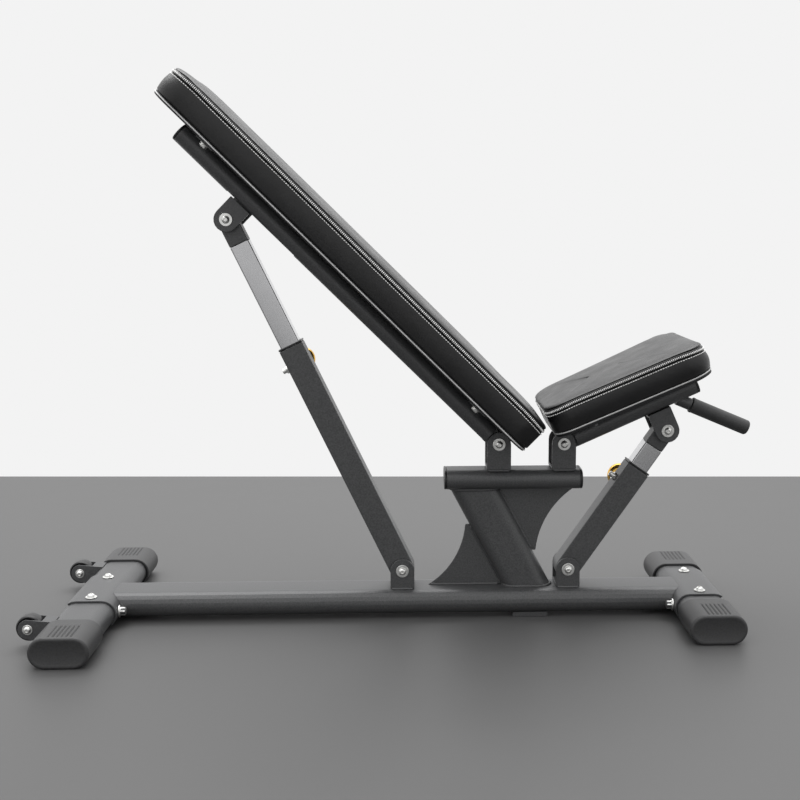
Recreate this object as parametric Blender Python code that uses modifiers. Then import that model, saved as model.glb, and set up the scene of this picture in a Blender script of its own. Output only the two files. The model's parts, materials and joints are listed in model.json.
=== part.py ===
"""Adjustable weight bench.

A floor frame carries a short raised tube. The back rest and the seat are hinged on that tube, and
each is held at its angle by a telescopic post that stands on the floor frame. All lengths are metres.
+X points from the head end to the foot end, +Z is up, and the floor is Z = 0.
"""
import math

import bpy
import bmesh
from mathutils import Matrix, Vector

# ---- driving dimensions -------------------------------------------------------------------------
GAP = 0.0003                      # air left between pieces that rest on each other
ARC_STEPS = 10                    # straight pieces in each half round

REAR_FOOT_X = -0.617              # centre lines of the two cross tubes
FRONT_FOOT_X = 0.616
REAR_FOOT_SPAN = 0.624            # overall widths over the rubber caps
FRONT_FOOT_SPAN = 0.464
FOOT_TUBE = (0.100, 0.050)        # flat oval section: width, height
FOOT_TUBE_Z = 0.030
CAP_WALL = 0.005
CAP_SIDE = 0.006
CAP_LENGTH = 0.106
TUBE_WALL = 0.003

MAIN_TUBE = (0.110, 0.050)
MAIN_TUBE_Z = 0.033
MAIN_REST = (0.235, 0.306, 0.045)  # low rest under the main tube: its two ends and half its width
SADDLE_THICKNESS = 0.004
SADDLE_HALF_WIDTH = 0.092
SADDLE_BOLT_Y = 0.070
SIDE_BOLT_Y = 0.068

UPRIGHT = (0.090, 0.050)          # leaning middle post, width along the bench and thickness
UPRIGHT_LEAN = math.radians(27.8)
UPRIGHT_FOOT_X = 0.2655           # where its centre line meets the main tube's top
UPPER_TUBE = (0.080, 0.040)
UPPER_TUBE_X = (0.0945, 0.378)    # ends over the plugs
UPPER_TUBE_Z = 0.2844
PLUG_LIP = 0.005
GUSSET_THICKNESS = 0.006

EAR_INNER = 0.0263                # half the clear width inside a clevis
EAR_OUTER = 0.0323
EAR_RADIUS = 0.0245
WEB_THICKNESS = 0.006
BOLT_RADIUS = 0.008
BOLT_BORE = 0.0084

BACK_BASE = Vector((0.008, 0.0, 0.096))    # lower pivot of the back rest's post
SEAT_BASE = Vector((0.350, 0.0, 0.096))    # lower pivot of the seat's post
BACK_PIVOT = Vector((0.206, 0.0, 0.359))   # hinge of the back rest
SEAT_PIVOT = Vector((0.339, 0.0, 0.359))   # hinge of the seat
BACK_ANGLE = math.radians(44.6)            # angles above level, as set
SEAT_ANGLE = math.radians(24.0)
BACK_TOP = (0.7035, -0.0575)      # post's upper pivot: along the back rest, and off its hinge line
SEAT_TOP = (0.204, -0.0625)

PAD_TUBE = (0.080, 0.040)         # flat oval tube under each pad
BACK_TUBE_X = (-0.881, -0.027)    # its ends along the back rest, measured from the hinge
BACK_TUBE_RISE = 0.003            # its centre above the hinge line
SEAT_TUBE_X = (0.0256, 0.292)
SEAT_TUBE_RISE = 0.002
TONGUE = (0.050, 0.034)           # hinge tongue: width and height
BRACKET = (0.150, 0.040)          # pad bracket: across and along
SLOT_X = (-0.742, -0.560)         # slot under the back tube that the post's head can rise into
SLOT_WIDTH = 0.056

BACK_BOARD = (-0.945, 0.026)      # pad board, along the back rest
BACK_BOARD_Z = (0.0283, 0.0363)
BACK_PAD = (-0.957, 0.034)
BACK_PAD_Z = (0.0366, 0.0965)
BACK_PAD_WIDTH = 0.280
SEAT_BOARD = (-0.004, 0.306)
SEAT_BOARD_Z = (0.0308, 0.0398)
SEAT_PAD = (-0.017, 0.322)
SEAT_PAD_Z = (0.0401, 0.0965)
SEAT_PAD_WIDTHS = (0.236, 0.306)  # at the back rest end and at the front

POST_OUTER = 0.050                # square outer tube of each post
POST_INNER = 0.040
BACK_MOUTH = 0.5135               # outer tube's open end, from the lower pivot
SEAT_MOUTH = 0.2525
BACK_INNER_LENGTH = 0.515         # inner tube below the upper pivot
SEAT_INNER_LENGTH = 0.244
BACK_HEAD_LENGTH = 0.053          # painted head above the plated tube
SEAT_HEAD_LENGTH = 0.044
PIN_BELOW_MOUTH = 0.039
PIN_RADIUS = 0.005
KNOB_RADIUS = 0.026
BACK_STOPS = (0.0, 15.0, 30.0, 44.6, 60.0, 75.0)   # back rest angles with a pin hole, degrees
SEAT_STOPS = (0.0, 12.0, 24.0)

WHEEL_CENTRE = (-0.7028, 0.040)
WHEEL_RADIUS = 0.025
WHEEL_Y = 0.186
FORK_WIDTH = 0.038
WHEEL_WIDTH = 0.028

GRIP_START = Vector((0.2724, 0.0, -0.0388))        # in the seat's own frame
GRIP_TURN = math.radians(46.7)                     # below the seat's own line
GRIP_LENGTH = 0.131
GRIP_RADIUS = 0.0155
STUB_RADIUS = 0.0125

# ---- scene and materials ------------------------------------------------------------------------
for old in list(bpy.data.objects):
    bpy.data.objects.remove(old, do_unlink=True)

parts = bpy.data.collections.new("adjustable_weight_bench")
cutters = bpy.data.collections.new("cutters")
for collection in (parts, cutters):
    bpy.context.scene.collection.children.link(collection)


def make_material(name, colour, roughness, metallic):
    material = bpy.data.materials.new(name)
    material.use_nodes = True
    shader = material.node_tree.nodes["Principled BSDF"]
    shader.inputs["Base Color"].default_value = (*colour, 1.0)
    shader.inputs["Roughness"].default_value = roughness
    shader.inputs["Metallic"].default_value = metallic
    return material


PAINT = make_material("black_paint", (0.035, 0.035, 0.037), 0.5, 0.2)
CHROME = make_material("chrome", (0.60, 0.60, 0.61), 0.2, 1.0)
ZINC = make_material("zinc_bolt", (0.62, 0.62, 0.60), 0.3, 1.0)
RUBBER = make_material("rubber", (0.030, 0.030, 0.031), 0.75, 0.0)
PLASTIC = make_material("black_plastic", (0.020, 0.020, 0.021), 0.5, 0.0)
LEATHER = make_material("black_leather", (0.018, 0.018, 0.019), 0.45, 0.0)
BOARD = make_material("board", (0.012, 0.012, 0.012), 0.8, 0.0)
GOLD = make_material("gold_knob", (0.70, 0.42, 0.06), 0.3, 1.0)


# ---- outlines: lists of (x, y) points -----------------------------------------------------------
def arc(cx, cy, radius, start, end, steps=ARC_STEPS):
    """Points on a circle from angle start to angle end, in degrees."""
    turns = [math.radians(start + (end - start) * i / steps) for i in range(steps + 1)]
    return [(cx + radius * math.cos(t), cy + radius * math.sin(t)) for t in turns]


def flat_oval(width, height):
    """Two half rounds joined by straight sides; width runs along x."""
    radius = height / 2
    reach = width / 2 - radius
    return arc(reach, 0, radius, -90, 90) + arc(-reach, 0, radius, 90, 270)


def rounded_box(x0, x1, y0, y1, radius, steps=4):
    """A rectangle with rounded corners."""
    corners = ((x1, y0, -90), (x1, y1, 0), (x0, y1, 90), (x0, y0, 180))
    points = []
    for x, y, start in corners:
        cx = x - radius if x == x1 else x + radius
        cy = y - radius if y == y1 else y + radius
        points += arc(cx, cy, radius, start, start + 90, steps)
    return points


def ear_outline(x, base, pivot_height):
    """A clevis ear: straight sides up from base and a half round about the pivot."""
    return [(x - EAR_RADIUS, base), (x + EAR_RADIUS, base)] + arc(x, pivot_height, EAR_RADIUS, 0, 180)


def tapered_plan(x0, x1, width0, width1, radius0, radius1, steps=6):
    """A pad seen from above: narrow end at x0, wide end at x1, rounded corners."""
    slope = math.atan2((width1 - width0) / 2, x1 - x0)
    side = math.degrees(slope)
    points = []
    for x, half, radius, start, end in (
            (x1, width1 / 2, radius1, 0, 90 + side),
            (x0, width0 / 2, radius0, 90 + side, 180)):
        cx = x - radius if x == x1 else x + radius
        edge = half + (cx - x) * math.tan(slope)
        points += arc(cx, edge - radius / math.cos(slope), radius, start, end, steps)
    return points + [(x, -y) for x, y in reversed(points)]


# ---- solids -------------------------------------------------------------------------------------
def add_object(name, mesh, material, collection=parts):
    thing = bpy.data.objects.new(name, mesh)
    collection.objects.link(thing)
    if material is not None:
        mesh.materials.append(material)
    if collection is cutters:
        thing.hide_render = True
        thing.display_type = 'WIRE'
    return thing


def prism(name, loops, depth, material, collection=parts):
    """Closed outlines, the first one solid and the others holes, extruded depth along local Z."""
    curve = bpy.data.curves.new(name, 'CURVE')
    curve.dimensions = '2D'
    curve.fill_mode = 'BOTH'
    curve.extrude = depth / 2
    for loop in loops:
        spline = curve.splines.new('POLY')
        spline.points.add(len(loop) - 1)
        for point, (x, y) in zip(spline.points, loop):
            point.co = (x, y, 0.0, 1.0)
        spline.use_cyclic_u = True
    guide = bpy.data.objects.new(name + "_outline", curve)
    bpy.context.scene.collection.objects.link(guide)
    graph = bpy.context.evaluated_depsgraph_get()
    mesh = bpy.data.meshes.new_from_object(guide.evaluated_get(graph))
    bpy.data.objects.remove(guide, do_unlink=True)
    bpy.data.curves.remove(curve)
    weld = bmesh.new()
    weld.from_mesh(mesh)
    bmesh.ops.remove_doubles(weld, verts=weld.verts, dist=0.00001)
    bmesh.ops.recalc_face_normals(weld, faces=weld.faces)
    weld.to_mesh(mesh)
    weld.free()
    mesh.materials.clear()
    mesh.name = name
    return add_object(name, mesh, material, collection)


def box(name, low, high, material=None, collection=cutters):
    """A block between two corners, with its origin at the frame's origin."""
    low = Vector(low)
    high = Vector(high)
    mesh = bpy.data.meshes.new(name)
    shape = bmesh.new()
    bmesh.ops.create_cube(shape, size=1.0)
    bmesh.ops.scale(shape, verts=shape.verts, vec=high - low)
    bmesh.ops.translate(shape, verts=shape.verts, vec=(low + high) / 2)
    shape.to_mesh(mesh)
    shape.free()
    return add_object(name, mesh, material, collection)


def rod(name, centre, axis, radius, length, material=None, collection=cutters, sides=20):
    """A round bar about a centre point, along X, Y or Z of its frame."""
    turn = {'X': Matrix.Rotation(math.pi / 2, 4, 'Y'), 'Y': Matrix.Rotation(math.pi / 2, 4, 'X'),
            'Z': Matrix.Identity(4)}[axis]
    mesh = bpy.data.meshes.new(name)
    shape = bmesh.new()
    bmesh.ops.create_cone(shape, cap_ends=True, segments=sides, radius1=radius, radius2=radius,
                          depth=length, matrix=Matrix.Translation(centre) @ turn)
    shape.to_mesh(mesh)
    shape.free()
    return add_object(name, mesh, material, collection)


def turned(name, profile, material, steps=16):
    """A profile of (radius, height) points, top to bottom, turned about local Z."""
    mesh = bpy.data.meshes.new(name)
    shape = bmesh.new()
    verts = [shape.verts.new((r, 0.0, z)) for r, z in profile]
    for a, b in zip(verts, verts[1:]):
        shape.edges.new((a, b))
    shape.to_mesh(mesh)
    shape.free()
    thing = add_object(name, mesh, material)
    screw = thing.modifiers.new("turn", 'SCREW')
    screw.steps = steps
    screw.render_steps = steps
    screw.use_merge_vertices = True
    screw.merge_threshold = 0.00001
    return thing


def combine(thing, cutter, operation='DIFFERENCE'):
    step = thing.modifiers.new(cutter.name, 'BOOLEAN')
    step.operation = operation
    step.solver = 'EXACT'
    step.object = cutter


def soften(thing, width, angle=50.0, segments=1, clamp=True):
    bevel = thing.modifiers.new("soften", 'BEVEL')
    bevel.width = width
    bevel.segments = segments
    bevel.limit_method = 'ANGLE'
    bevel.angle_limit = math.radians(angle)
    bevel.use_clamp_overlap = clamp


def place(thing, location=(0, 0, 0), turn=(0, 0, 0), parent=None):
    thing.location = location
    thing.rotation_euler = turn
    thing.parent = parent
    return thing


ALONG_X = (math.pi / 2, 0.0, math.pi / 2)      # outline's x to +Y, its y to +Z, depth along X
ALONG_Y = (math.pi / 2, 0.0, 0.0)              # outline's x to +X, its y to +Z, depth along Y
FACING_NEAR = (math.pi / 2, 0.0, 0.0)          # a turned piece whose top points to -Y
FACING_FAR = (-math.pi / 2, 0.0, 0.0)          # a turned piece whose top points to +Y


def axis_empty(name, location, angle, parent=None):
    """A frame on a joint's axis, turned by angle about +Y."""
    empty = bpy.data.objects.new(name, None)
    empty.empty_display_size = 0.05
    parts.objects.link(empty)
    return place(empty, location, (0.0, angle, 0.0), parent)


def side_plate(name, outline, thickness, material, y=0.0, parent=None, collection=parts):
    """An outline in the X-Z plane with its thickness along Y."""
    thing = prism(name, [outline], thickness, material, collection)
    return place(thing, (0.0, y, 0.0), ALONG_Y, parent)


# ---- fasteners ----------------------------------------------------------------------------------
def bolt_profile(reach, washer, head, shank, nut=True):
    """Half section of a bolt: dome head with washer above, shank, and washer with nut below."""
    top = [(0.0, reach + 0.0085), (head * 0.6, reach + 0.0080), (head, reach + 0.0050),
           (head, reach + 0.0020), (washer, reach + 0.0020), (washer, reach), (shank, reach)]
    if nut:
        low = [(shank, -reach), (washer, -reach), (washer, -reach - 0.0020), (head, -reach - 0.0020),
               (head, -reach - 0.0090), (0.0, -reach - 0.0090)]
    else:
        low = [(shank, reach - 0.0057), (0.0, reach - 0.0057)]
    return top + low


def pivot_bolt(name, pivot, parent=None):
    profile = bolt_profile(EAR_OUTER + GAP, 0.0130, 0.0078, BOLT_RADIUS)
    return place(turned(name, profile, ZINC), pivot, FACING_NEAR, parent)


def ear_bore(name, x, z, radius=BOLT_BORE, parent=None, reach=0.10):
    return place(rod(name, (x, 0.0, z), 'Y', radius, reach), parent=parent)


def clevis(name, x, base, pivot, parent=None, reverse=False):
    """A U of flat bar: a web on the tube and two ears, bored for the pivot bolt.

    With reverse set it hangs below its tube, so base is above the pivot.
    """
    height = pivot - base
    outline = ear_outline(0.0, 0.0, abs(height))
    if reverse:
        outline = [(px, -pz) for px, pz in reversed(outline)]
    thing = side_plate(name, outline, 2 * EAR_OUTER, PAINT, parent=parent)
    thing.location = (x, 0.0, base)
    web = WEB_THICKNESS if not reverse else -WEB_THICKNESS
    ends = sorted((base + web, base + height * 4))
    slot = box(name + "_gap", (x - 0.06, -EAR_INNER, ends[0]), (x + 0.06, EAR_INNER, ends[1]))
    place(slot, parent=parent)
    combine(thing, slot)
    combine(thing, ear_bore(name + "_bore", x, pivot, parent=parent))
    return thing


# ---- floor frame --------------------------------------------------------------------------------
def offset_oval(section, extra):
    return flat_oval(section[0] + 2 * extra, section[1] + 2 * extra)


def foot_cap(name, foot_x, sign, half_span):
    """A rubber shoe: a flat oval cup whose mouth faces the middle of the foot."""
    width = FOOT_TUBE[0] + 2 * CAP_SIDE
    height = FOOT_TUBE[1] + 2 * CAP_WALL
    cap = prism(name, [flat_oval(width, height)], CAP_LENGTH, RUBBER)
    place(cap, (foot_x, sign * (half_span - CAP_LENGTH / 2), FOOT_TUBE_Z), ALONG_Y)
    soften(cap, 0.003)
    pocket = prism(name + "_pocket", [offset_oval(FOOT_TUBE, GAP)], CAP_LENGTH, None, cutters)
    inward = sign * (half_span - CAP_LENGTH / 2 - CAP_WALL)
    place(pocket, (foot_x, inward, FOOT_TUBE_Z), ALONG_Y)
    combine(cap, pocket)


def saddle(name, foot_x, inner_sign):
    """Formed sheet over the cross tube's top and its inner side, with two side bolts."""
    inner = FOOT_TUBE[1] / 2 + GAP
    outer = inner + SADDLE_THICKNESS
    reach = FOOT_TUBE[0] / 2 - FOOT_TUBE[1] / 2
    over = arc(reach, 0, outer, -54, 90, 8) + arc(-reach, 0, outer, 90, 126, 2)
    back = arc(-reach, 0, inner, 126, 90, 2) + arc(reach, 0, inner, 90, -54, 8)
    outline = [(inner_sign * x, z) for x, z in over + back]
    if inner_sign < 0:
        outline.reverse()
    sheet = side_plate(name, outline, 2 * SADDLE_HALF_WIDTH, PAINT)
    sheet.location = (foot_x, 0.0, FOOT_TUBE_Z)
    for sign in (-1, 1):
        centre = (foot_x + inner_sign * (FOOT_TUBE[0] / 2 + 0.0095), sign * SIDE_BOLT_Y, FOOT_TUBE_Z)
        combine(sheet, rod(name + "_side_bolt", centre, 'X', 0.0085, 0.017, sides=12), 'UNION')


def saddle_bolt(name, foot_x, y):
    top = FOOT_TUBE_Z + FOOT_TUBE[1] / 2 + SADDLE_THICKNESS + 2 * GAP
    profile = [(0.0, 0.0085), (0.0055, 0.0080), (0.0080, 0.0050), (0.0080, 0.0020), (0.0115, 0.0020),
               (0.0115, 0.0), (0.0, 0.0)]
    place(turned(name, profile, ZINC, 12), (foot_x, y, top))


def cross_foot(end, foot_x, span, inner_sign):
    half = span / 2
    length = span - 2 * (CAP_WALL + GAP)
    loops = [offset_oval(FOOT_TUBE, 0.0), offset_oval(FOOT_TUBE, -TUBE_WALL)]
    tube = prism(end + "_cross_tube", loops, length, PAINT)
    place(tube, (foot_x, 0.0, FOOT_TUBE_Z), ALONG_Y)
    saddle(end + "_saddle", foot_x, inner_sign)
    for side, sign in (("right", -1), ("left", 1)):
        foot_cap(f"{end}_foot_cap_{side}", foot_x, sign, half)
        saddle_bolt(f"{end}_saddle_bolt_{side}", foot_x, sign * SADDLE_BOLT_Y)


def main_tube():
    """The long tube, its ends coped to sit against the two saddles, with a low rest under its middle."""
    loops = [offset_oval(MAIN_TUBE, 0.0), offset_oval(MAIN_TUBE, -TUBE_WALL)]
    length = FRONT_FOOT_X - REAR_FOOT_X
    tube = prism("main_tube", loops, length, PAINT)
    place(tube, ((FRONT_FOOT_X + REAR_FOOT_X) / 2, 0.0, MAIN_TUBE_Z), ALONG_X)
    around = SADDLE_THICKNESS + 2 * GAP
    for end, foot_x in (("rear", REAR_FOOT_X), ("front", FRONT_FOOT_X)):
        cope = prism(end + "_cope", [offset_oval(FOOT_TUBE, around)], 0.2, None, cutters)
        place(cope, (foot_x, 0.0, FOOT_TUBE_Z), ALONG_Y)
        combine(tube, cope)
    x0, x1, half = MAIN_REST
    floor = MAIN_TUBE_Z - MAIN_TUBE[1] / 2
    combine(tube, box("main_rest", (x0, -half, 0.0005), (x1, half, floor + 0.002)), 'UNION')


def upright():
    """The leaning post between the main tube and the upper tube, cut level at both ends."""
    low = MAIN_TUBE_Z + MAIN_TUBE[1] / 2 + GAP
    high = UPPER_TUBE_Z - UPPER_TUBE[1] / 2 - GAP
    loops = [offset_oval(UPRIGHT, 0.0), offset_oval(UPRIGHT, -TUBE_WALL)]
    post = prism("upright_post", loops, high - low, PAINT)
    stretch = Matrix.Diagonal((1 / math.cos(UPRIGHT_LEAN), 1.0, 1.0, 1.0))
    shear = Matrix.Identity(4)
    shear[0][2] = -math.tan(UPRIGHT_LEAN)
    post.data.transform(shear @ stretch)
    middle = (low + high) / 2
    centre_x = UPRIGHT_FOOT_X - (middle - low) * math.tan(UPRIGHT_LEAN)
    place(post, (centre_x, 0.0, middle))
    return low, high


def gusset(name, along, up, centre, radius, low, high):
    """A web plate in the corner between the leaning post and a tube, with one hollow side.

    The hollow side is an arc about centre; along is +1 in front of the post and -1 behind it.
    """
    lean = math.tan(UPRIGHT_LEAN)
    edge = UPRIGHT_FOOT_X + along * (UPRIGHT[0] / 2 / math.cos(UPRIGHT_LEAN) + GAP)
    start, end = (low, low + up) if along < 0 else (high, high - up)
    first, last = (math.asin((z - centre[1]) / radius) for z in (start, end))
    turns = [first + (last - first) * i / 12 for i in range(13)]
    hollow = [(centre[0] - along * radius * math.cos(t), centre[1] + radius * math.sin(t)) for t in turns]
    outline = [(edge - (start - low) * lean, start)] + hollow + [(edge - (end - low) * lean, end)]
    side_plate(name, outline, GUSSET_THICKNESS, PAINT)


def upper_tube():
    x0, x1 = UPPER_TUBE_X
    loops = [offset_oval(UPPER_TUBE, 0.0), offset_oval(UPPER_TUBE, -TUBE_WALL)]
    tube = prism("upper_tube", loops, x1 - x0 - 2 * (PLUG_LIP + GAP), PAINT)
    place(tube, ((x0 + x1) / 2, 0.0, UPPER_TUBE_Z), ALONG_X)
    for name, x in (("upper_plug_rear", x0 + PLUG_LIP / 2), ("upper_plug_front", x1 - PLUG_LIP / 2)):
        plug = prism(name, [offset_oval(UPPER_TUBE, 0.0)], PLUG_LIP, PLASTIC)
        soften(place(plug, (x, 0.0, UPPER_TUBE_Z), ALONG_X), 0.0018)


# ---- wheels -------------------------------------------------------------------------------------
def wheel_fork(name, y):
    """Two cheeks and a block behind the cross tube, cut to the tube's half round."""
    wx, wz = WHEEL_CENTRE
    tube_edge = REAR_FOOT_X - FOOT_TUBE[0] / 2
    outline = arc(wx, wz, 0.019, 100, 262, 8) + [(tube_edge + 0.012, 0.010), (tube_edge + 0.014, 0.054)]
    fork = side_plate(name, outline, FORK_WIDTH, PAINT)
    fork.location.y = y
    room = (WHEEL_WIDTH + 0.002) / 2
    gap = box(name + "_gap", (wx - 0.05, y - room, -0.05), (wx + WHEEL_RADIUS + 0.0015, y + room, 0.15))
    hug = prism(name + "_hug", [offset_oval(FOOT_TUBE, GAP)], 0.1, None, cutters)
    place(hug, (REAR_FOOT_X, y, FOOT_TUBE_Z), ALONG_Y)
    for cutter in (gap, hug, rod(name + "_bore", (wx, y, wz), 'Y', 0.0043, 0.1, sides=16)):
        combine(fork, cutter)


def wheel(side, sign):
    wx, wz = WHEEL_CENTRE
    y = sign * WHEEL_Y
    wheel_fork("wheel_fork_" + side, y)
    half = WHEEL_WIDTH / 2
    rim = WHEEL_RADIUS
    bore = 0.0043
    profile = [(bore, half), (0.009, half), (0.012, half - 0.003), (rim - 0.005, half - 0.003),
               (rim - 0.003, half), (rim, half - 0.003), (rim, 0.003 - half), (rim - 0.003, -half),
               (rim - 0.005, 0.003 - half), (0.012, 0.003 - half), (0.009, -half), (bore, -half),
               (bore, half)]
    place(turned("wheel_" + side, profile, PLASTIC, 20), (wx, y, wz), FACING_NEAR)
    axle = bolt_profile(FORK_WIDTH / 2 + GAP, 0.0080, 0.0065, 0.0040)
    place(turned("wheel_axle_" + side, axle, ZINC, 12), (wx, y, wz), FACING_NEAR)


# ---- pads and their frames ----------------------------------------------------------------------
def pad_frame(name, ends, rise, hinge_end, parent, bracket_top, bracket_x):
    """Flat oval tube with a hinge tongue at one end and two bolted cross brackets on top."""
    loops = [offset_oval(PAD_TUBE, 0.0), offset_oval(PAD_TUBE, -TUBE_WALL)]
    tube = prism(name, loops, ends[1] - ends[0], PAINT)
    place(tube, ((ends[0] + ends[1]) / 2, 0.0, rise), ALONG_X, parent)
    into = math.copysign(1.0, (ends[0] + ends[1]) / 2)
    plate = prism(name + "_end", [offset_oval(PAD_TUBE, -0.0006)], 0.006, None, cutters)
    place(plate, (hinge_end + into * 0.0036, 0.0, rise), ALONG_X, parent)
    half = TONGUE[1] / 2
    tip = hinge_end + into * 0.005
    start = 90 if into > 0 else -90
    nose = arc(0.0, 0.0, half, start, start + 180)
    outline = nose + ([(tip, -half), (tip, half)] if into > 0 else [(tip, half), (tip, -half)])
    tongue = side_plate(name + "_tongue", outline, TONGUE[0], None, parent=parent, collection=cutters)
    combine(tube, plate, 'UNION')
    combine(tube, tongue, 'UNION')
    combine(tube, ear_bore(name + "_bore", 0.0, 0.0, parent=parent))
    for i, x in enumerate(bracket_x):
        bracket = pad_bracket(f"{name}_bracket_{i + 1}", x, rise, bracket_top, parent)
        combine(tube, bracket, 'UNION')
    return tube


def pad_bracket(name, x, rise, top, parent):
    """A flat bar across the tube's top, with a hexagon head under each end."""
    base = rise + PAD_TUBE[1] / 2 - 0.001
    across, along = BRACKET
    bar = box(name, (x - along / 2, -across / 2, base), (x + along / 2, across / 2, top))
    place(bar, parent=parent)
    for sign in (-1, 1):
        centre = (x, sign * (across / 2 - 0.018), base - 0.003)
        head = place(rod(name + "_head", centre, 'Z', 0.0075, 0.008, sides=6), parent=parent)
        combine(bar, head, 'UNION')
    return bar


def slab(name, plan, z0, z1, material, parent, edge=None):
    """A plan outline given thickness between two heights, with an optional rounded edge."""
    thing = prism(name, [plan], z1 - z0, material)
    place(thing, (0.0, 0.0, (z0 + z1) / 2), parent=parent)
    if edge:
        soften(thing, edge, 60.0, 2)
    return thing


def back_rest(frame):
    top = BACK_BOARD_Z[0] - GAP
    tube = pad_frame("back_frame", BACK_TUBE_X, BACK_TUBE_RISE, BACK_TUBE_X[1], frame, top, (-0.828, -0.089))
    floor = BACK_TUBE_RISE - PAD_TUBE[1] / 2
    slot = box("back_slot", (SLOT_X[0], -SLOT_WIDTH / 2, floor - 0.01),
               (SLOT_X[1], SLOT_WIDTH / 2, floor + TUBE_WALL + 0.008))
    combine(tube, place(slot, parent=frame))
    plug = prism("back_frame_plug", [offset_oval(PAD_TUBE, 0.0)], PLUG_LIP, PLASTIC)
    place(plug, (BACK_TUBE_X[0] - GAP - PLUG_LIP / 2, 0.0, BACK_TUBE_RISE), ALONG_X, frame)
    soften(plug, 0.0018)
    x, z = -BACK_TOP[0], BACK_TOP[1]
    for side, sign, facing in (("right", -1, FACING_NEAR), ("left", 1, FACING_FAR)):
        ear = arc(x, z, EAR_RADIUS, 180, 360)
        ear += [(x + EAR_RADIUS, floor - GAP), (x - EAR_RADIUS, floor - GAP)]
        y = sign * (EAR_INNER + EAR_OUTER) / 2
        plate = side_plate("back_ear_" + side, ear, EAR_OUTER - EAR_INNER, PAINT, y, frame)
        combine(plate, ear_bore("back_ear_bore_" + side, x, z, parent=frame))
        stub = turned("back_top_bolt_" + side, bolt_profile(EAR_OUTER + GAP, 0.013, 0.0078, BOLT_RADIUS, False), ZINC)
        place(stub, (x, 0.0, z), facing, frame)
    board_plan = rounded_box(*BACK_BOARD, -BACK_PAD_WIDTH / 2 + 0.005, BACK_PAD_WIDTH / 2 - 0.005, 0.040)
    slab("back_board", board_plan, *BACK_BOARD_Z, BOARD, frame)
    plan = rounded_box(*BACK_PAD, -BACK_PAD_WIDTH / 2, BACK_PAD_WIDTH / 2, 0.045, 6)
    slab("back_cushion", plan, *BACK_PAD_Z, LEATHER, frame, 0.011)


def seat(frame):
    top = SEAT_BOARD_Z[0] - GAP
    tube = pad_frame("seat_frame", SEAT_TUBE_X, SEAT_TUBE_RISE, SEAT_TUBE_X[0], frame, top, (0.070, 0.255))
    direction = Vector((math.cos(GRIP_TURN), 0.0, -math.sin(GRIP_TURN)))
    start = GRIP_START - direction * 0.030
    turn = (0.0, math.pi / 2 + GRIP_TURN, 0.0)
    stub = rod("seat_frame_stub", (0.0, 0.0, 0.0), 'Z', STUB_RADIUS, 0.030)
    place(stub, (start + GRIP_START) / 2, turn, frame)
    combine(tube, stub, 'UNION')
    grip_profile = [(0.0, GRIP_LENGTH), (0.0105, GRIP_LENGTH - 0.0008), (GRIP_RADIUS, GRIP_LENGTH - 0.005),
                    (GRIP_RADIUS, 0.002), (GRIP_RADIUS - 0.002, GAP), (0.0, GAP)]
    place(turned("handle_grip", grip_profile, RUBBER), GRIP_START, turn, frame)
    plug = prism("seat_frame_plug", [offset_oval(PAD_TUBE, 0.0)], PLUG_LIP, PLASTIC)
    place(plug, (SEAT_TUBE_X[1] + GAP + PLUG_LIP / 2, 0.0, SEAT_TUBE_RISE), ALONG_X, frame)
    soften(plug, 0.0018)
    floor = SEAT_TUBE_RISE - PAD_TUBE[1] / 2
    clevis("seat_post_clevis", SEAT_TOP[0], floor - GAP, SEAT_TOP[1], frame, True)
    pivot_bolt("seat_top_bolt", (SEAT_TOP[0], 0.0, SEAT_TOP[1]), frame)
    widths = [w - 0.010 for w in SEAT_PAD_WIDTHS]
    slab("seat_board", tapered_plan(*SEAT_BOARD, *widths, 0.040, 0.045), *SEAT_BOARD_Z, BOARD, frame)
    plan = tapered_plan(*SEAT_PAD, *SEAT_PAD_WIDTHS, 0.045, 0.050)
    slab("seat_cushion", plan, *SEAT_PAD_Z, LEATHER, frame, 0.011)


# ---- telescopic posts ---------------------------------------------------------------------------
def top_point(pivot, angle, reach, drop):
    """World place of a pivot that sits reach along an arm and drop off it, the arm turned by angle."""
    return pivot + Matrix.Rotation(angle, 4, 'Y') @ Vector((reach, 0.0, drop))


def outer_tube(name, mouth, pin_at, frame):
    """Square tube with a rounded, bored foot, a socket for the inner tube and the pin's barrel."""
    half = POST_OUTER / 2
    outline = arc(0.0, 0.0, half, 180, 360) + [(half, mouth), (-half, mouth)]
    tube = side_plate(name, outline, POST_OUTER, PAINT, parent=frame)
    soften(tube, 0.0025, 60.0, 2, False)
    bore = half - TUBE_WALL
    barrel = rod(name + "_barrel", (0.0, half + 0.009, pin_at), 'Y', 0.0125, 0.020, sides=16)
    combine(tube, place(barrel, parent=frame), 'UNION')
    socket = box(name + "_socket", (-bore, -bore, 0.028), (bore, bore, mouth + 0.05))
    combine(tube, place(socket, parent=frame))
    pin_way = rod(name + "_pin_way", (0.0, half, pin_at), 'Y', PIN_RADIUS + GAP, 0.06, sides=16)
    combine(tube, place(pin_way, parent=frame))
    combine(tube, ear_bore(name + "_bore", 0.0, 0.0, parent=frame))


def inner_tube(name, length, head, holes, frame):
    """Plated square tube that hangs from the head, open below, with a row of pin holes."""
    half = POST_INNER / 2
    tube = prism(name, [rounded_box(-half, half, -half, half, 0.003, 2)], length - head - GAP, CHROME)
    place(tube, (0.0, 0.0, -head - GAP - (length - head - GAP) / 2), parent=frame)
    bore = half - TUBE_WALL
    hollow = box(name + "_hollow", (-bore, -bore, -length - 0.02), (bore, bore, -head - 0.004))
    combine(tube, place(hollow, parent=frame))
    for i, depth in enumerate(holes):
        hole = rod(f"{name}_hole_{i + 1}", (0.0, half, -depth), 'Y', 0.0058, 0.02, sides=12)
        combine(tube, place(hole, parent=frame))


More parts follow.
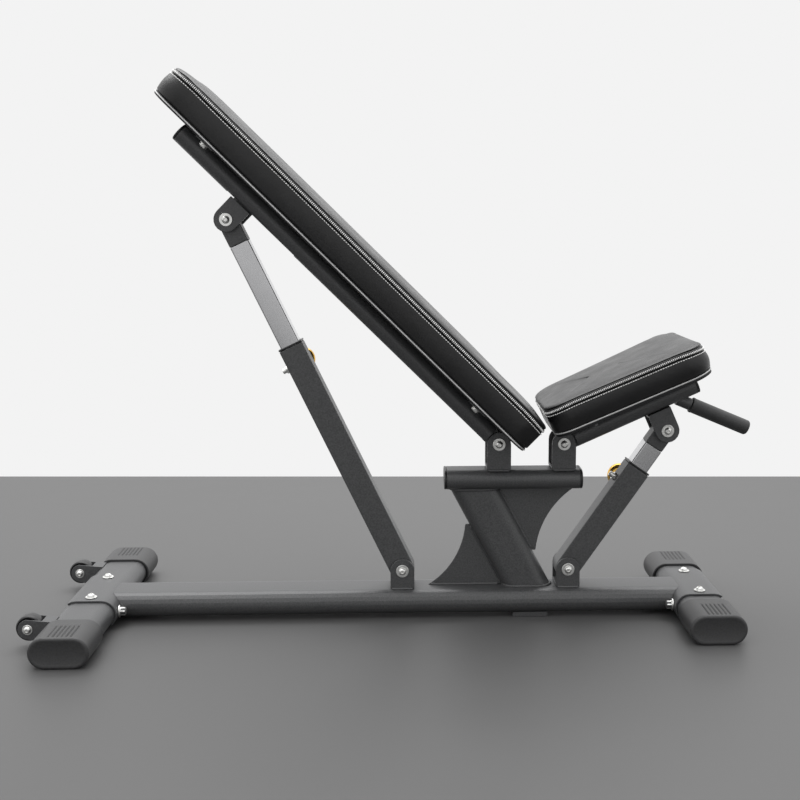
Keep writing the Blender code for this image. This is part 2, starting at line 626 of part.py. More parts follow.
def post_head(name, head, bore, frame):
    """Painted head: the square bar's rounded end, widened by a bush between the clevis ears."""
    half = POST_INNER / 2
    outline = arc(0.0, 0.0, half, 0, 180) + [(-half, -head), (half, -head)]
    thing = side_plate(name, outline, POST_INNER, PAINT, parent=frame)
    soften(thing, 0.0025, 60.0, 2, False)
    bush = rod(name + "_bush", (0.0, 0.0, 0.0), 'Y', 0.0150, 2 * (EAR_INNER - 0.0010), sides=24)
    combine(thing, place(bush, parent=frame), 'UNION')
    if bore:
        combine(thing, ear_bore(name + "_bore", 0.0, 0.0, bore, frame))


def mouth_collar(name, mouth, frame):
    outer = POST_OUTER / 2 + 0.0005
    inner = POST_INNER / 2 + 0.0007
    loops = [rounded_box(-outer, outer, -outer, outer, 0.003, 2), rounded_box(-inner, inner, -inner, inner, 0.0024, 2)]
    collar = prism(name, loops, 0.0035, PLASTIC)
    place(collar, (0.0, 0.0, mouth + GAP + 0.00175), parent=frame)


def pull_pin(name, pin_at, frame):
    """Spring pin with a round knob; it points away from the post along +Y."""
    face = POST_OUTER / 2 + 0.0190
    knob = face + 0.016
    start = POST_INNER / 2 + 0.0006
    profile = [(0.0, knob + 0.026), (KNOB_RADIUS * 0.55, knob + 0.0255), (KNOB_RADIUS * 0.88, knob + 0.021),
               (KNOB_RADIUS, knob + 0.014), (KNOB_RADIUS, knob + 0.007), (KNOB_RADIUS * 0.85, knob),
               (0.0085, knob - 0.002), (0.0085, face + 0.001), (PIN_RADIUS, face + 0.001),
               (PIN_RADIUS, start), (0.0, start)]
    place(turned(name, profile, GOLD, 20), (0.0, 0.0, pin_at), FACING_FAR, frame)


def set_bolt(name, height, frame):
    """Anti-rattle bolt with its lock nut on the post's -X face."""
    profile = [(0.0, 0.0135), (0.0050, 0.0135), (0.0058, 0.0125), (0.0058, 0.0060), (0.0085, 0.0060),
               (0.0085, 0.0), (0.0, 0.0)]
    bolt = turned(name, profile, ZINC, 12)
    place(bolt, (-POST_OUTER / 2 - GAP, 0.0, height), (0.0, -math.pi / 2, 0.0), frame)


def post(kind, base, pivot, rest, stops, top, mouth, inner_length, head, bore):
    """One telescopic post between its base pivot and the pivot under the pad."""
    arm = -1.0 if kind == "back" else 1.0

    def span(degrees):
        angle = -arm * math.radians(degrees)
        return top_point(pivot, angle, arm * top[0], top[1]) - base

    line = span(rest)
    lean = math.atan2(line.x, line.z)
    foot = axis_empty(kind + "_post_axis", base, lean)
    crown = axis_empty(kind + "_post_top", (0.0, 0.0, line.length), 0.0, foot)
    pin_at = mouth - PIN_BELOW_MOUTH
    outer_tube(kind + "_post_outer", mouth, pin_at, foot)
    mouth_collar(kind + "_post_collar", mouth, foot)
    pull_pin(kind + "_pull_pin", pin_at, foot)
    set_bolt(kind + "_set_bolt", pin_at - 0.002, foot)
    holes = [span(stop).length - pin_at for stop in stops]
    inner_tube(kind + "_post_inner", inner_length, head, holes, crown)
    post_head(kind + "_post_head", head, bore, crown)


# ---- assembly -----------------------------------------------------------------------------------
cross_foot("rear", REAR_FOOT_X, REAR_FOOT_SPAN, 1)
cross_foot("front", FRONT_FOOT_X, FRONT_FOOT_SPAN, -1)
main_tube()
upright_low, upright_high = upright()
gusset("gusset_rear", -1, 0.128, (-0.0256, 0.198), 0.1648, upright_low, upright_high)
gusset("gusset_front", 1, 0.134, (0.466, 0.112), 0.1817, upright_low, upright_high)
upper_tube()

main_top = MAIN_TUBE_Z + MAIN_TUBE[1] / 2 + GAP
upper_top = UPPER_TUBE_Z + UPPER_TUBE[1] / 2 + GAP
for joint, pivot_point, seat_height in (
        ("back_post_base", BACK_BASE, main_top), ("seat_post_base", SEAT_BASE, main_top),
        ("back_hinge", BACK_PIVOT, upper_top), ("seat_hinge", SEAT_PIVOT, upper_top)):
    clevis(joint + "_clevis", pivot_point.x, seat_height, pivot_point.z)
    pivot_bolt(joint + "_bolt", pivot_point)

for wheel_side, wheel_sign in (("right", -1), ("left", 1)):
    wheel(wheel_side, wheel_sign)

back_rest(axis_empty("back_rest_axis", BACK_PIVOT, BACK_ANGLE))
seat(axis_empty("seat_axis", SEAT_PIVOT, -SEAT_ANGLE))
post("back", BACK_BASE, BACK_PIVOT, math.degrees(BACK_ANGLE), BACK_STOPS, BACK_TOP, BACK_MOUTH,
     BACK_INNER_LENGTH, BACK_HEAD_LENGTH, None)
post("seat", SEAT_BASE, SEAT_PIVOT, math.degrees(SEAT_ANGLE), SEAT_STOPS, SEAT_TOP, SEAT_MOUTH,
     SEAT_INNER_LENGTH, SEAT_HEAD_LENGTH, BOLT_RADIUS + 0.0022)
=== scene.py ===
# %% [markdown]
# # Adjustable weight bench
#
# A bench for lifting weights, as found in gyms. Flat oval steel tubes stand on two rubber-shod feet,
# and the back rest and the seat tilt on telescopic posts locked by spring pins.
#
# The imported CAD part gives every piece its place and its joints. This script gives the pieces their
# finish: it smooths the painted steel, sews the cushions, and rebuilds what the CAD keeps simple, such
# as bolts, rubber shoes, knobs and wheels. All lengths are metres.

# %% Load the part
import json
import math

import bmesh
import bpy
import numpy as np
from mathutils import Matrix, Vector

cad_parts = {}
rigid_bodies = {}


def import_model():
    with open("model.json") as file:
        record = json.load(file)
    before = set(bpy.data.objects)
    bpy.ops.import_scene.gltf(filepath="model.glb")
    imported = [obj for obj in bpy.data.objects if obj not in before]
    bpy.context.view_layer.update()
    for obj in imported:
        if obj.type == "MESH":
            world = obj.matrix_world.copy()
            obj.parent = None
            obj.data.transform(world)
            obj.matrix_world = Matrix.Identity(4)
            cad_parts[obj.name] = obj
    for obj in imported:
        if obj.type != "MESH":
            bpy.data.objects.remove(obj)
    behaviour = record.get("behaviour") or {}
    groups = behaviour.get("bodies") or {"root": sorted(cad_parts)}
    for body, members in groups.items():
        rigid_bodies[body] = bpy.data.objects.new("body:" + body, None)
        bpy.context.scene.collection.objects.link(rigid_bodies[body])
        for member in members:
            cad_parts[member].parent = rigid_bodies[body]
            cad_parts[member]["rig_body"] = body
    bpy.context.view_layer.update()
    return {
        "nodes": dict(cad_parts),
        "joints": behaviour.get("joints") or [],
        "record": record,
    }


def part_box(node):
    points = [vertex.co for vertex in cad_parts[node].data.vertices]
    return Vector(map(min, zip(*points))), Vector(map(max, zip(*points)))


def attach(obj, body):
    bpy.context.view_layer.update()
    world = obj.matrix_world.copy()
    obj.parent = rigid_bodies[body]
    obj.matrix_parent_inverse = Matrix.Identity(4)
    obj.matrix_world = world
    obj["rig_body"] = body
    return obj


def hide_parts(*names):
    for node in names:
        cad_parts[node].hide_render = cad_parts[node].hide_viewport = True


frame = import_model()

NODES = frame["nodes"]
JOINTS = {joint["name"]: joint for joint in frame["joints"]}
MOUNTS = {mount["name"]: mount for mount in frame["record"]["mounts"]}
print("parts loaded:", len(NODES))

# %% [markdown]
# ## Building surfaces from arrays
#
# Every new piece is a grid of points, worked out by a formula over two parameters, such as a profile
# turned about an axis. The whole grid is computed at once. Points that fall together are welded, which
# closes the poles and seams, and the faces are then turned outward.


# %% Grid helpers
def grid_faces(rows, columns, ring=True, loop=False):
    """Quads of a grid numbered row by row: ring closes each row on itself, loop the last row on the first."""
    r = np.arange(rows if loop else rows - 1)
    c = np.arange(columns if ring else columns - 1)
    r, c = np.meshgrid(r, c, indexing="ij")
    below, beside = (r + 1) % rows, (c + 1) % columns
    corners = (r * columns + c, r * columns + beside, below * columns + beside, below * columns + c)
    return np.stack(corners, -1).reshape(-1, 4)


def joined(grids):
    """Several (points, faces) pairs as one pair."""
    starts = np.cumsum([0] + [len(points) for points, _ in grids[:-1]])
    return (np.concatenate([points for points, _ in grids]),
            np.concatenate([faces + start for (_, faces), start in zip(grids, starts)]))


def skin_mesh(name, points, faces, angle=40.0):
    """A welded, outward-facing, smooth mesh; edges that turn by more than the angle stay crisp."""
    _, first, same = np.unique(np.round(points, 6), axis=0, return_index=True, return_inverse=True)
    quads = same.reshape(-1)[faces]
    a, b, c, d = quads.T
    whole = (a != b) & (b != c) & (c != d) & (d != a) & (a != c) & (b != d)
    halves = np.concatenate([quads[:, [1, 2, 3]][a == b], quads[:, [0, 2, 3]][b == c],
                             quads[:, [0, 1, 3]][c == d], quads[:, [0, 1, 2]][d == a]])
    halves = halves[(halves != np.roll(halves, 1, axis=1)).all(1)]
    mesh = bpy.data.meshes.new(name)
    mesh.from_pydata(points[first].tolist(), [], quads[whole].tolist() + halves.tolist())
    shape = bmesh.new()
    shape.from_mesh(mesh)
    bmesh.ops.recalc_face_normals(shape, faces=shape.faces)
    shape.to_mesh(mesh)
    shape.free()
    mesh.shade_smooth()
    mesh.set_sharp_from_angle(angle=math.radians(angle))
    return mesh


def add_piece(name, surface, material, body, stands_for=(), angle=40.0):
    """Adds a surface as a named piece that moves with a body and may stand for CAD parts."""
    points, faces = surface
    mesh = skin_mesh(name, points, faces, angle)
    mesh.materials.append(material)
    thing = bpy.data.objects.new(name, mesh)
    bpy.context.scene.collection.objects.link(thing)
    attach(thing, body)
    if stands_for:
        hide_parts(*stands_for)
    return thing


def unit(vector):
    """The vector at length 1."""
    vector = np.asarray(vector, float)
    return vector / np.linalg.norm(vector)


def lathe(profile, centre, axis, turns=32):
    """Profile rows (radius r, height h, sides w) turned about an axis through the centre.

    p = centre + h axis + r f(t) (cos t u + sin t v), with t round the axis. f is 1 for a round row.
    Where w is 1 the row is a hexagon with corners at r: f = cos 30 / cos((t mod 60) - 30).
    """
    rows = np.array([tuple(row) + (0.0,) * (3 - len(row)) for row in profile])
    axis = unit(axis)
    u = unit(np.cross(axis, (0.3, 0.2, 0.9) if abs(axis[2]) < 0.8 else (1.0, 0.1, 0.0)))
    v = np.cross(axis, u)
    t = np.arange(turns) * 2 * np.pi / turns
    hexagon = math.cos(np.pi / 6) / np.cos(t % (np.pi / 3) - np.pi / 6)
    reach = rows[:, :1] * (1 + rows[:, 2:] * (hexagon - 1))
    circle = np.cos(t)[:, None] * u + np.sin(t)[:, None] * v
    points = centre + rows[:, 1, None, None] * axis + reach[:, :, None] * circle
    return points.reshape(-1, 3), grid_faces(len(rows), turns)


def rounded(corners, radius, steps=4):
    """A profile whose inner corners are softened: each becomes a curve B(s) from one side to the next.

    B(s) = (1-s)^2 P + 2 s (1-s) C + s^2 Q, where C is the corner and P, Q lie a radius along its sides.
    """
    corners = np.asarray(corners, float)
    s = np.linspace(0, 1, steps)[:, None]
    out = [corners[:1]]
    for before, corner, after in zip(corners[:-2], corners[1:-1], corners[2:]):
        sides = [before - corner, after - corner]
        spans = [np.linalg.norm(side) for side in sides]
        p, q = (corner + side * min(radius, span * 0.48) / span for side, span in zip(sides, spans))
        out.append((1 - s) ** 2 * p + 2 * s * (1 - s) * corner + s ** 2 * q)
    return np.concatenate(out + [corners[-1:]])


def turned_about_y(points, pivot, angle):
    """Local points turned by an angle about +Y and moved to a pivot."""
    x, y, z = np.moveaxis(np.asarray(points, float), -1, 0)
    c, s = math.cos(angle), math.sin(angle)
    return np.stack([x * c + z * s, y, z * c - x * s], -1) + pivot


print("helpers ready")

# %% [markdown]
# ## Finishes
#
# The frame is powder coated: dry paint is sprayed on and baked, which leaves a satin film with a faint
# orange-peel ripple. The inner posts are satin chrome, the bolts zinc plated, the knobs anodised gold.
# The cushions are covered in fine-grained synthetic leather. Each finish is mixed from noise in
# object space, so it follows the piece and needs no pictures.


# %% Materials
def shader_for(name, colour, roughness, metallic=0.0, specular=0.5):
    """A new material with its shader set, and the object coordinates that its noise reads."""
    material = bpy.data.materials.new(name)
    material.use_nodes = True
    nodes, links = material.node_tree.nodes, material.node_tree.links
    shader = nodes["Principled BSDF"]
    shader.inputs["Base Color"].default_value = (*colour, 1.0)
    shader.inputs["Roughness"].default_value = roughness
    shader.inputs["Metallic"].default_value = metallic
    shader.inputs["Specular IOR Level"].default_value = specular
    place = nodes.new("ShaderNodeTexCoord").outputs["Object"]
    return material, shader, nodes, links, place


def noise(nodes, links, place, scale, detail=3.0, stretch=None):
    """Noise at a scale per metre, drawn out along an axis if a stretch is given."""
    if stretch:
        mapping = nodes.new("ShaderNodeMapping")
        mapping.inputs["Scale"].default_value = stretch
        links.new(place, mapping.inputs["Vector"])
        place = mapping.outputs["Vector"]
    texture = nodes.new("ShaderNodeTexNoise")
    texture.inputs["Scale"].default_value = scale
    texture.inputs["Detail"].default_value = detail
    links.new(place, texture.inputs["Vector"])
    return texture.outputs["Fac"]


def spread(nodes, links, value, low, high):
    """Noise, which keeps near one half, mapped onto the range low to high."""
    ramp = nodes.new("ShaderNodeMapRange")
    ramp.inputs["From Min"].default_value = 0.3
    ramp.inputs["From Max"].default_value = 0.7
    ramp.inputs["To Min"].default_value = low
    ramp.inputs["To Max"].default_value = high
    links.new(value, ramp.inputs["Value"])
    return ramp.outputs["Result"]


def tint(nodes, links, value, colour, low, high):
    """The colour made darker or lighter by noise, between the factors low and high."""
    mix = nodes.new("ShaderNodeMix")
    mix.data_type = 'RGBA'
    mix.inputs["A"].default_value = (*[c * low for c in colour], 1.0)
    mix.inputs["B"].default_value = (*[c * high for c in colour], 1.0)
    links.new(spread(nodes, links, value, 0.0, 1.0), mix.inputs["Factor"])
    return mix.outputs["Result"]


def ripple(nodes, links, height, distance, strength, before=None):
    """Bump of a given height in metres, laid over an earlier one."""
    bump = nodes.new("ShaderNodeBump")
    bump.inputs["Strength"].default_value = strength
    bump.inputs["Distance"].default_value = distance
    links.new(height, bump.inputs["Height"])
    if before:
        links.new(before, bump.inputs["Normal"])
    return bump.outputs["Normal"]


def finish(name, colour, roughness, metallic=0.0, specular=0.5, tone=(0.9, 1.1), tone_scale=9.0, gloss=0.05,
           grain=(1200.0, 0.0003, 0.25), stretch=None):
    """A finish whose colour and gloss drift slowly, with a fine grain (scale, height, strength) on top."""
    material, shader, nodes, links, place = shader_for(name, colour, roughness, metallic, specular)
    slow = noise(nodes, links, place, tone_scale, 4.0)
    fine = noise(nodes, links, place, grain[0], 2.0, stretch)
    links.new(tint(nodes, links, slow, colour, *tone), shader.inputs["Base Color"])
    links.new(spread(nodes, links, fine if stretch else slow, roughness - gloss, roughness + gloss),
              shader.inputs["Roughness"])
    links.new(ripple(nodes, links, fine, grain[1], grain[2]), shader.inputs["Normal"])
    return material


def leather(name, colour):
    """Small pebbled cells with creases between them, over slow dimples where the foam gives."""
    material, shader, nodes, links, place = shader_for(name, colour, 0.36, 0.0, 0.5)
    cells = nodes.new("ShaderNodeTexVoronoi")
    cells.feature = 'DISTANCE_TO_EDGE'
    cells.inputs["Scale"].default_value = 720.0
    links.new(place, cells.inputs["Vector"])
    crease = nodes.new("ShaderNodeMapRange")
    crease.inputs["From Max"].default_value = 0.16
    links.new(cells.outputs["Distance"], crease.inputs["Value"])
    slow = noise(nodes, links, place, 22.0, 2.0)
    wave = ripple(nodes, links, slow, 0.0014, 0.30)
    wave = ripple(nodes, links, noise(nodes, links, place, 110.0, 4.0), 0.0009, 0.35, wave)
    links.new(ripple(nodes, links, crease.outputs["Result"], 0.00020, 0.30, wave), shader.inputs["Normal"])
    mottle = tint(nodes, links, noise(nodes, links, place, 60.0), colour, 0.8, 1.2)
    links.new(mottle, shader.inputs["Base Color"])
    links.new(spread(nodes, links, slow, 0.31, 0.42), shader.inputs["Roughness"])
    return material


PAINT = finish("powder_coat", (0.078, 0.079, 0.081), 0.42, 0.25, 0.62, (0.74, 1.28), 380.0, 0.06,
               (1000.0, 0.00030, 0.45))
CHROME = finish("satin_chrome", (0.60, 0.60, 0.61), 0.27, 1.0, 0.5, (0.94, 1.04), 12.0, 0.06,
                (260.0, 0.00005, 0.10), (14.0, 14.0, 1.0))
ZINC = finish("zinc_plate", (0.86, 0.86, 0.84), 0.33, 1.0, 0.5, (0.85, 1.1), 90.0, 0.06,
              (900.0, 0.0001, 0.15))
RUBBER = finish("moulded_rubber", (0.036, 0.036, 0.037), 0.50, 0.0, 0.55, (0.80, 1.25), 300.0, 0.05,
                (1500.0, 0.0002, 0.35))
PLASTIC = finish("black_plastic", (0.016, 0.016, 0.017), 0.38, 0.0, 0.5, (0.85, 1.15), 60.0, 0.05,
                 (1700.0, 0.0001, 0.25))
GOLD = finish("gold_anodised", (0.78, 0.47, 0.10), 0.24, 1.0, 0.5, (0.92, 1.06), 80.0, 0.05,
              (1500.0, 0.00005, 0.2))
BOARD = finish("black_board", (0.012, 0.012, 0.013), 0.62, 0.0, 0.4, (0.8, 1.3), 120.0, 0.05,
               (1300.0, 0.0002, 0.4))
# The beading is a real bead, but its light grey is painted highlight: it stands in for the bright line that
# light draws along the lower edge of each cover.
PAINTED_HIGHLIGHT_BEAD = finish("grey_bead_painted_highlight", (0.55, 0.55, 0.55), 0.45, 0.0, 0.5, (0.9, 1.1), 60.0, 0.05,
                 (1300.0, 0.0001, 0.3))
THREAD = finish("sewing_thread", (0.93, 0.93, 0.92), 0.70, 0.0, 0.3, (0.8, 1.2), 200.0, 0.05,
                (2600.0, 0.0002, 0.6))
LEATHER = leather("synthetic_leather", (0.006, 0.006, 0.0065))
LOOKS = {"black_paint": PAINT, "chrome": CHROME, "zinc_bolt": ZINC, "rubber": RUBBER,
         "black_plastic": PLASTIC, "black_leather": LEATHER, "board": BOARD, "gold_knob": GOLD}
print("finishes:", ", ".join(sorted(LOOKS)))

# %% [markdown]
# ## Smoothing the painted steel
#
# The CAD tubes are cut into flat strips. Real tube is rolled, so its round sides must shade as one
# curve, while folded and sawn edges stay crisp but never razor sharp: paint always rounds them a
# little. The strips are shaded smooth, edges that turn sharply are marked, and a bevel under a
# millimetre wide catches the light on them. The CAD shapes themselves stay as they are.


# %% Shade and soften the CAD parts
PAINT_RADIUS = 0.0008    # how far paint rounds an edge
CREASE_ANGLE = 35.0      # degrees between two faces that stay apart in shading
BEVEL_ANGLE = 40.0       # degrees between two faces whose edge is rounded


def mark_sharp_edges(mesh, angle):
    """Marks the edges where two faces meet at more than the angle.

    The faces are loose triangles, so edges are paired up by place. For unit normals m and n of the two
    faces, |m + n|^2 = 2 + 2 cos(angle between them).
    """
    count = len(mesh.vertices)
    places = np.empty(count * 3, np.float32)
    mesh.vertices.foreach_get("co", places)
    _, same = np.unique(np.round(places.reshape(-1, 3), 5), axis=0, return_inverse=True)
    ends = np.empty(len(mesh.edges) * 2, np.int32)
    mesh.edges.foreach_get("vertices", ends)
    pairs = np.sort(same.reshape(-1)[ends.reshape(-1, 2)], axis=1)
    _, edge_kind = np.unique(pairs[:, 0] * count + pairs[:, 1], return_inverse=True)
    edge_kind = edge_kind.reshape(-1)
    corner_edge = np.empty(len(mesh.loops), np.int32)
    mesh.loops.foreach_get("edge_index", corner_edge)
    sizes = np.empty(len(mesh.polygons), np.int32)
    mesh.polygons.foreach_get("loop_total", sizes)
    normals = np.empty(len(mesh.polygons) * 3, np.float32)
    mesh.polygons.foreach_get("normal", normals)
    total = np.zeros((edge_kind.max() + 1, 3))
    np.add.at(total, edge_kind[corner_edge], np.repeat(normals.reshape(-1, 3), sizes, axis=0))
    uses = np.bincount(edge_kind[corner_edge], minlength=len(total))
    sharp = (uses != 2) | ((total ** 2).sum(1) / 2 - 1 < math.cos(math.radians(angle)))
    mark = mesh.attributes.get("sharp_edge") or mesh.attributes.new("sharp_edge", 'BOOLEAN', 'EDGE')
    mark.data.foreach_set("value", sharp[edge_kind])


def polish(node, material):
    """Smooth shading, a fine bevel and a finish for one CAD part."""
    mesh = node.data
    if "custom_normal" in mesh.attributes:
        mesh.attributes.remove(mesh.attributes["custom_normal"])
    mesh.shade_smooth()
    mark_sharp_edges(mesh, CREASE_ANGLE)
    mesh.materials.clear()
    mesh.materials.append(material)
    weld = node.modifiers.new("weld", 'WELD')
    weld.merge_threshold = 0.00002
    bevel = node.modifiers.new("paint_radius", 'BEVEL')
    bevel.width = PAINT_RADIUS
    bevel.segments = 2
    bevel.limit_method = 'ANGLE'
    bevel.angle_limit = math.radians(BEVEL_ANGLE)
    even = node.modifiers.new("even_shading", 'WEIGHTED_NORMAL')
    even.keep_sharp = True


for entry in frame["record"]["subparts"]:
    polish(NODES[entry["node"]], LOOKS[entry["material_slot"]])

# %% [markdown]
# ## Cushions
#
# Each cushion is a foam slab glued to a board and covered in synthetic leather. The cover is sewn from
# a top panel and a side band. Two seams run round it a centimetre apart, close to the top, and the
# stitching is lighter than the leather. The air pressure of a short cloth simulation gives the swell
# that foam has between its seams: the skin is held along the board and the seams and blown up a
# little. The seams are pressed in afterwards and the stitches laid along them. The ends that face
# each other stay flat, so that the pads clear each other when the back rest stands upright.


# %% Shape of a cushion
def pad_plan(x0, x1, width0, width1, radius0, radius1, count):
    """Outline of a pad from above, resampled to evenly spaced points, with its outward normals.

    Two arcs round each end: the corner at x has its centre at x -/+ radius, and they meet the straight
    sides, which spread from width0 to width1.
    """
    slope = math.atan2((width1 - width0) / 2, x1 - x0)
    half = []
    for x, width, radius, start, end in ((x1, width1, radius1, 0.0, np.pi / 2 + slope),
                                         (x0, width0, radius0, np.pi / 2 + slope, np.pi)):
        cx = x - radius if x == x1 else x + radius
        cy = width / 2 + (cx - x) * math.tan(slope) - radius / math.cos(slope)
        t = np.linspace(start, end, 60)
        half.append(np.stack([cx + radius * np.cos(t), cy + radius * np.sin(t)], 1))
    half = np.concatenate(half)
    loop = np.concatenate([half, half[::-1] * (1, -1), half[:1]])
    along = np.concatenate([[0.0], np.cumsum(np.linalg.norm(np.diff(loop, axis=0), axis=1))])
    s = np.arange(count) * along[-1] / count
    points = np.stack([np.interp(s, along, loop[:, 0]), np.interp(s, along, loop[:, 1])], 1)
    tangent = np.roll(points, -1, axis=0) - np.roll(points, 1, axis=0)
    tangent /= np.linalg.norm(tangent, axis=1)[:, None]
    return points, np.stack([tangent[:, 1], -tangent[:, 0]], 1), along[-1]


class Pad:
    """One cushion in the frame of its own tilting part: x along the bench, y across, z off its board."""

    def __init__(self, kind, pivot, angle, plan, base, seams, crown, swell, droop, cap):
        self.kind, self.pivot, self.angle = kind, np.array(pivot), angle
        self.plan, self.base, self.seams, self.crown = plan, base, seams, crown
        self.swell, self.droop, self.cap = swell, droop, cap
        self.facing = 1.0 if kind == "back" else -1.0
        self.spine = (plan[0] + plan[2] / 2, plan[1] - plan[3] / 2)

    def section(self, q):
        """Offset off the outline, swell, share of the way to the spine, and height, for q from 0 to 5.

        0-1 runs out along the bottom, 1-2 round the lower edge, 2-3 up the side, 3-4 over the shoulder and
        4-5 in across the top, which rises as crown (1 - (1 - s)^2). The side swells by sines below and
        between the seams.
        """
        low, lower, upper = self.base, self.seams[1], self.seams[0]
        edge, shoulder, lift = 0.0045, 0.0095, 0.0040
        a = (np.clip(q, 1, 2) - 1) * np.pi / 2
        b = (np.clip(q, 3, 4) - 3) * np.pi / 2
        s = np.clip(q - 4, 0, 1)
        height = low + edge * (1 - np.cos(a)) + np.clip(q - 2, 0, 1) * (upper - low - edge)
        height = height + lift * np.sin(b) + self.crown * (1 - (1 - s) ** 2)
        swell = self.swell * np.sin(np.pi * np.clip((height - low - edge) / (lower - low - edge), 0, 1))
        swell += 0.0006 * np.sin(np.pi * np.clip((height - lower) / (upper - lower), 0, 1))
        out = -edge * (1 - np.sin(a)) - shoulder * (1 - np.cos(b))
        return out, swell, np.where(q < 1, 1 - q, s), height

    def freedom(self, normal):
        """How far the skin may swell: 1 all round, falling to 0 on the end that faces the other pad."""
        return 1 - np.clip(normal[:, 0] * self.facing * 1.5, 0, 1)

    def calm(self, x):
        """Share of the blown movement that is kept: a smooth step t^2 (3 - 2t) off the facing end.

        It leaves room there, so that the two pads clear each other with the back rest upright.
        """
        length = self.plan[1] - self.plan[0]
        end = self.plan[1] if self.facing > 0 else self.plan[0]
        t = np.clip(((end - x) * self.facing / (0.22 * length) - 0.25) / 0.75, 0, 1)
        return t * t * (3 - 2 * t)

    def grid(self, q, count):
        """Points of the skin: outline + out normal, then moved its share of the way to the spine."""
        outline, normal, _ = pad_plan(*self.plan, count)
        out, swell, share, height = self.section(q)
        reach = out[:, None] + swell[:, None] * self.freedom(normal)
        edge = outline[None] + reach[..., None] * normal[None]
        spine = np.stack([np.clip(edge[..., 0], *self.spine), np.zeros(edge.shape[:2])], -1)
        flat = edge + share[:, None, None] * (spine - edge)
        return np.concatenate([flat, np.broadcast_to(height[:, None, None], (*flat.shape[:2], 1))], -1)

    def to_bench(self, points):
        """The pad's points in the bench's frame, after its two ends have rounded off.

        z = base + (z - base) (1 - droop t^2), with t rising from 0 to 1 over the last 7 cm at each end.
        The top panel keeps most of its height there, so that its shoulder grows deeper than along the sides.
        """
        points = np.array(points, float)
        x, reach = points[..., 0], 0.07
        start = np.clip((self.plan[0] + reach - x) / reach, 0, 1)
        end = np.clip((x - self.plan[1] + reach) / reach, 0, 1)
        above = np.maximum(points[..., 2] - self.base, 0)
        share = 1 - 0.60 * np.clip((points[..., 2] - self.seams[0]) / 0.004, 0, 1)
        points[..., 2] -= above * share * (self.droop[0] * start ** 2 + self.droop[1] * end ** 2)
        return turned_about_y(points, self.pivot, self.angle)


BACK_ANGLE = math.atan2(MOUNTS["back_pad_face"]["axis"][0], MOUNTS["back_pad_face"]["axis"][2])
SEAT_ANGLE = math.atan2(MOUNTS["seat_pad_face"]["axis"][0], MOUNTS["seat_pad_face"]["axis"][2])
BACK = Pad("back", JOINTS["back_tilt"]["pos_m"], BACK_ANGLE, (-0.9565, 0.0325, 0.279, 0.279, 0.045, 0.045),
           0.0366, (0.0940, 0.0840), 0.0012, 0.0022, (0.11, 0.09), 0.0042)
SEAT = Pad("seat", JOINTS["seat_tilt"]["pos_m"], SEAT_ANGLE, (-0.0130, 0.3215, 0.235, 0.305, 0.045, 0.046),
           0.0401, (0.0945, 0.0840), 0.0012, 0.0034, (0.10, 0.16), 0.0026)
print("pad angles:", round(math.degrees(BACK_ANGLE), 1), round(math.degrees(SEAT_ANGLE), 1))


# %% Blow the covers up a little
def blow_up(pad, q, count, frames=20):
    """How far air pressure moves each point of a coarse skin, capped softly: d cap / (cap + |d|)."""
    rest = pad.grid(q, count)
    faces = grid_faces(len(q), count)
    points = rest.reshape(-1, 3)
    mesh = bpy.data.meshes.new(pad.kind + "_skin")
    _, first, same = np.unique(np.round(points, 6), axis=0, return_index=True, return_inverse=True)
    same = same.reshape(-1)
    corners = same[faces]
    mesh.from_pydata(points[first].tolist(), [], [list(dict.fromkeys(face)) for face in corners.tolist()])
    skin = bpy.data.objects.new(pad.kind + "_skin", mesh)
    bpy.context.scene.collection.objects.link(skin)
    height = points[first][:, 2]
    row = np.repeat(q, count)[first]
    seam = np.exp(-((height - pad.seams[0]) / 0.0030) ** 2) + np.exp(-((height - pad.seams[1]) / 0.0030) ** 2)
    held = np.where(row < 2.05, 1.0, np.where(row < 3.3, np.clip(seam, 0, 1), 0.0))
    group = skin.vertex_groups.new(name="held")
    for i in np.flatnonzero(held > 0.01).tolist():
        group.add([i], float(held[i]), 'REPLACE')
    cloth = skin.modifiers.new("air", 'CLOTH')
    settings = cloth.settings
    settings.quality = 8
    settings.mass = 0.4
    settings.tension_stiffness = settings.compression_stiffness = 25.0
    settings.shear_stiffness = 15.0
    settings.bending_stiffness = 4.0
    settings.use_pressure = True
    settings.uniform_pressure_force = 4.0
    settings.vertex_group_mass = "held"
    settings.effector_weights.gravity = 0.0
    cloth.collision_settings.use_collision = False
    cloth.point_cache.frame_start, cloth.point_cache.frame_end = 1, frames
    for number in range(1, frames + 1):
        bpy.context.scene.frame_set(number)
    blown = skin.evaluated_get(bpy.context.evaluated_depsgraph_get()).to_mesh()
    after = np.empty(len(blown.vertices) * 3, np.float32)
    blown.vertices.foreach_get("co", after)
    move = (after.reshape(-1, 3) - points[first])[same].reshape(rest.shape)
    bpy.data.objects.remove(skin, do_unlink=True)
    bpy.context.scene.frame_set(1)
    size = np.linalg.norm(move, axis=-1, keepdims=True)
    return move * pad.cap / (pad.cap + size)


def resample(move, q, fine_q, count):
    """A coarse movement read between its rows and columns, and evened out along each row."""
    i = np.clip(np.searchsorted(q, fine_q, side="right") - 1, 0, len(q) - 2)
    f = ((fine_q - q[i]) / (q[i + 1] - q[i]))[:, None, None]
    rows = move[i] * (1 - f) + move[i + 1] * f
    c = np.arange(count) * move.shape[1] / count
    j = c.astype(int)
    g = (c - j)[None, :, None]
    fine = rows[:, j] * (1 - g) + rows[:, (j + 1) % move.shape[1]] * g
    for _ in range(3):
        fine = (np.roll(fine, 1, axis=1) + fine * 2 + np.roll(fine, -1, axis=1)) / 4
    return fine


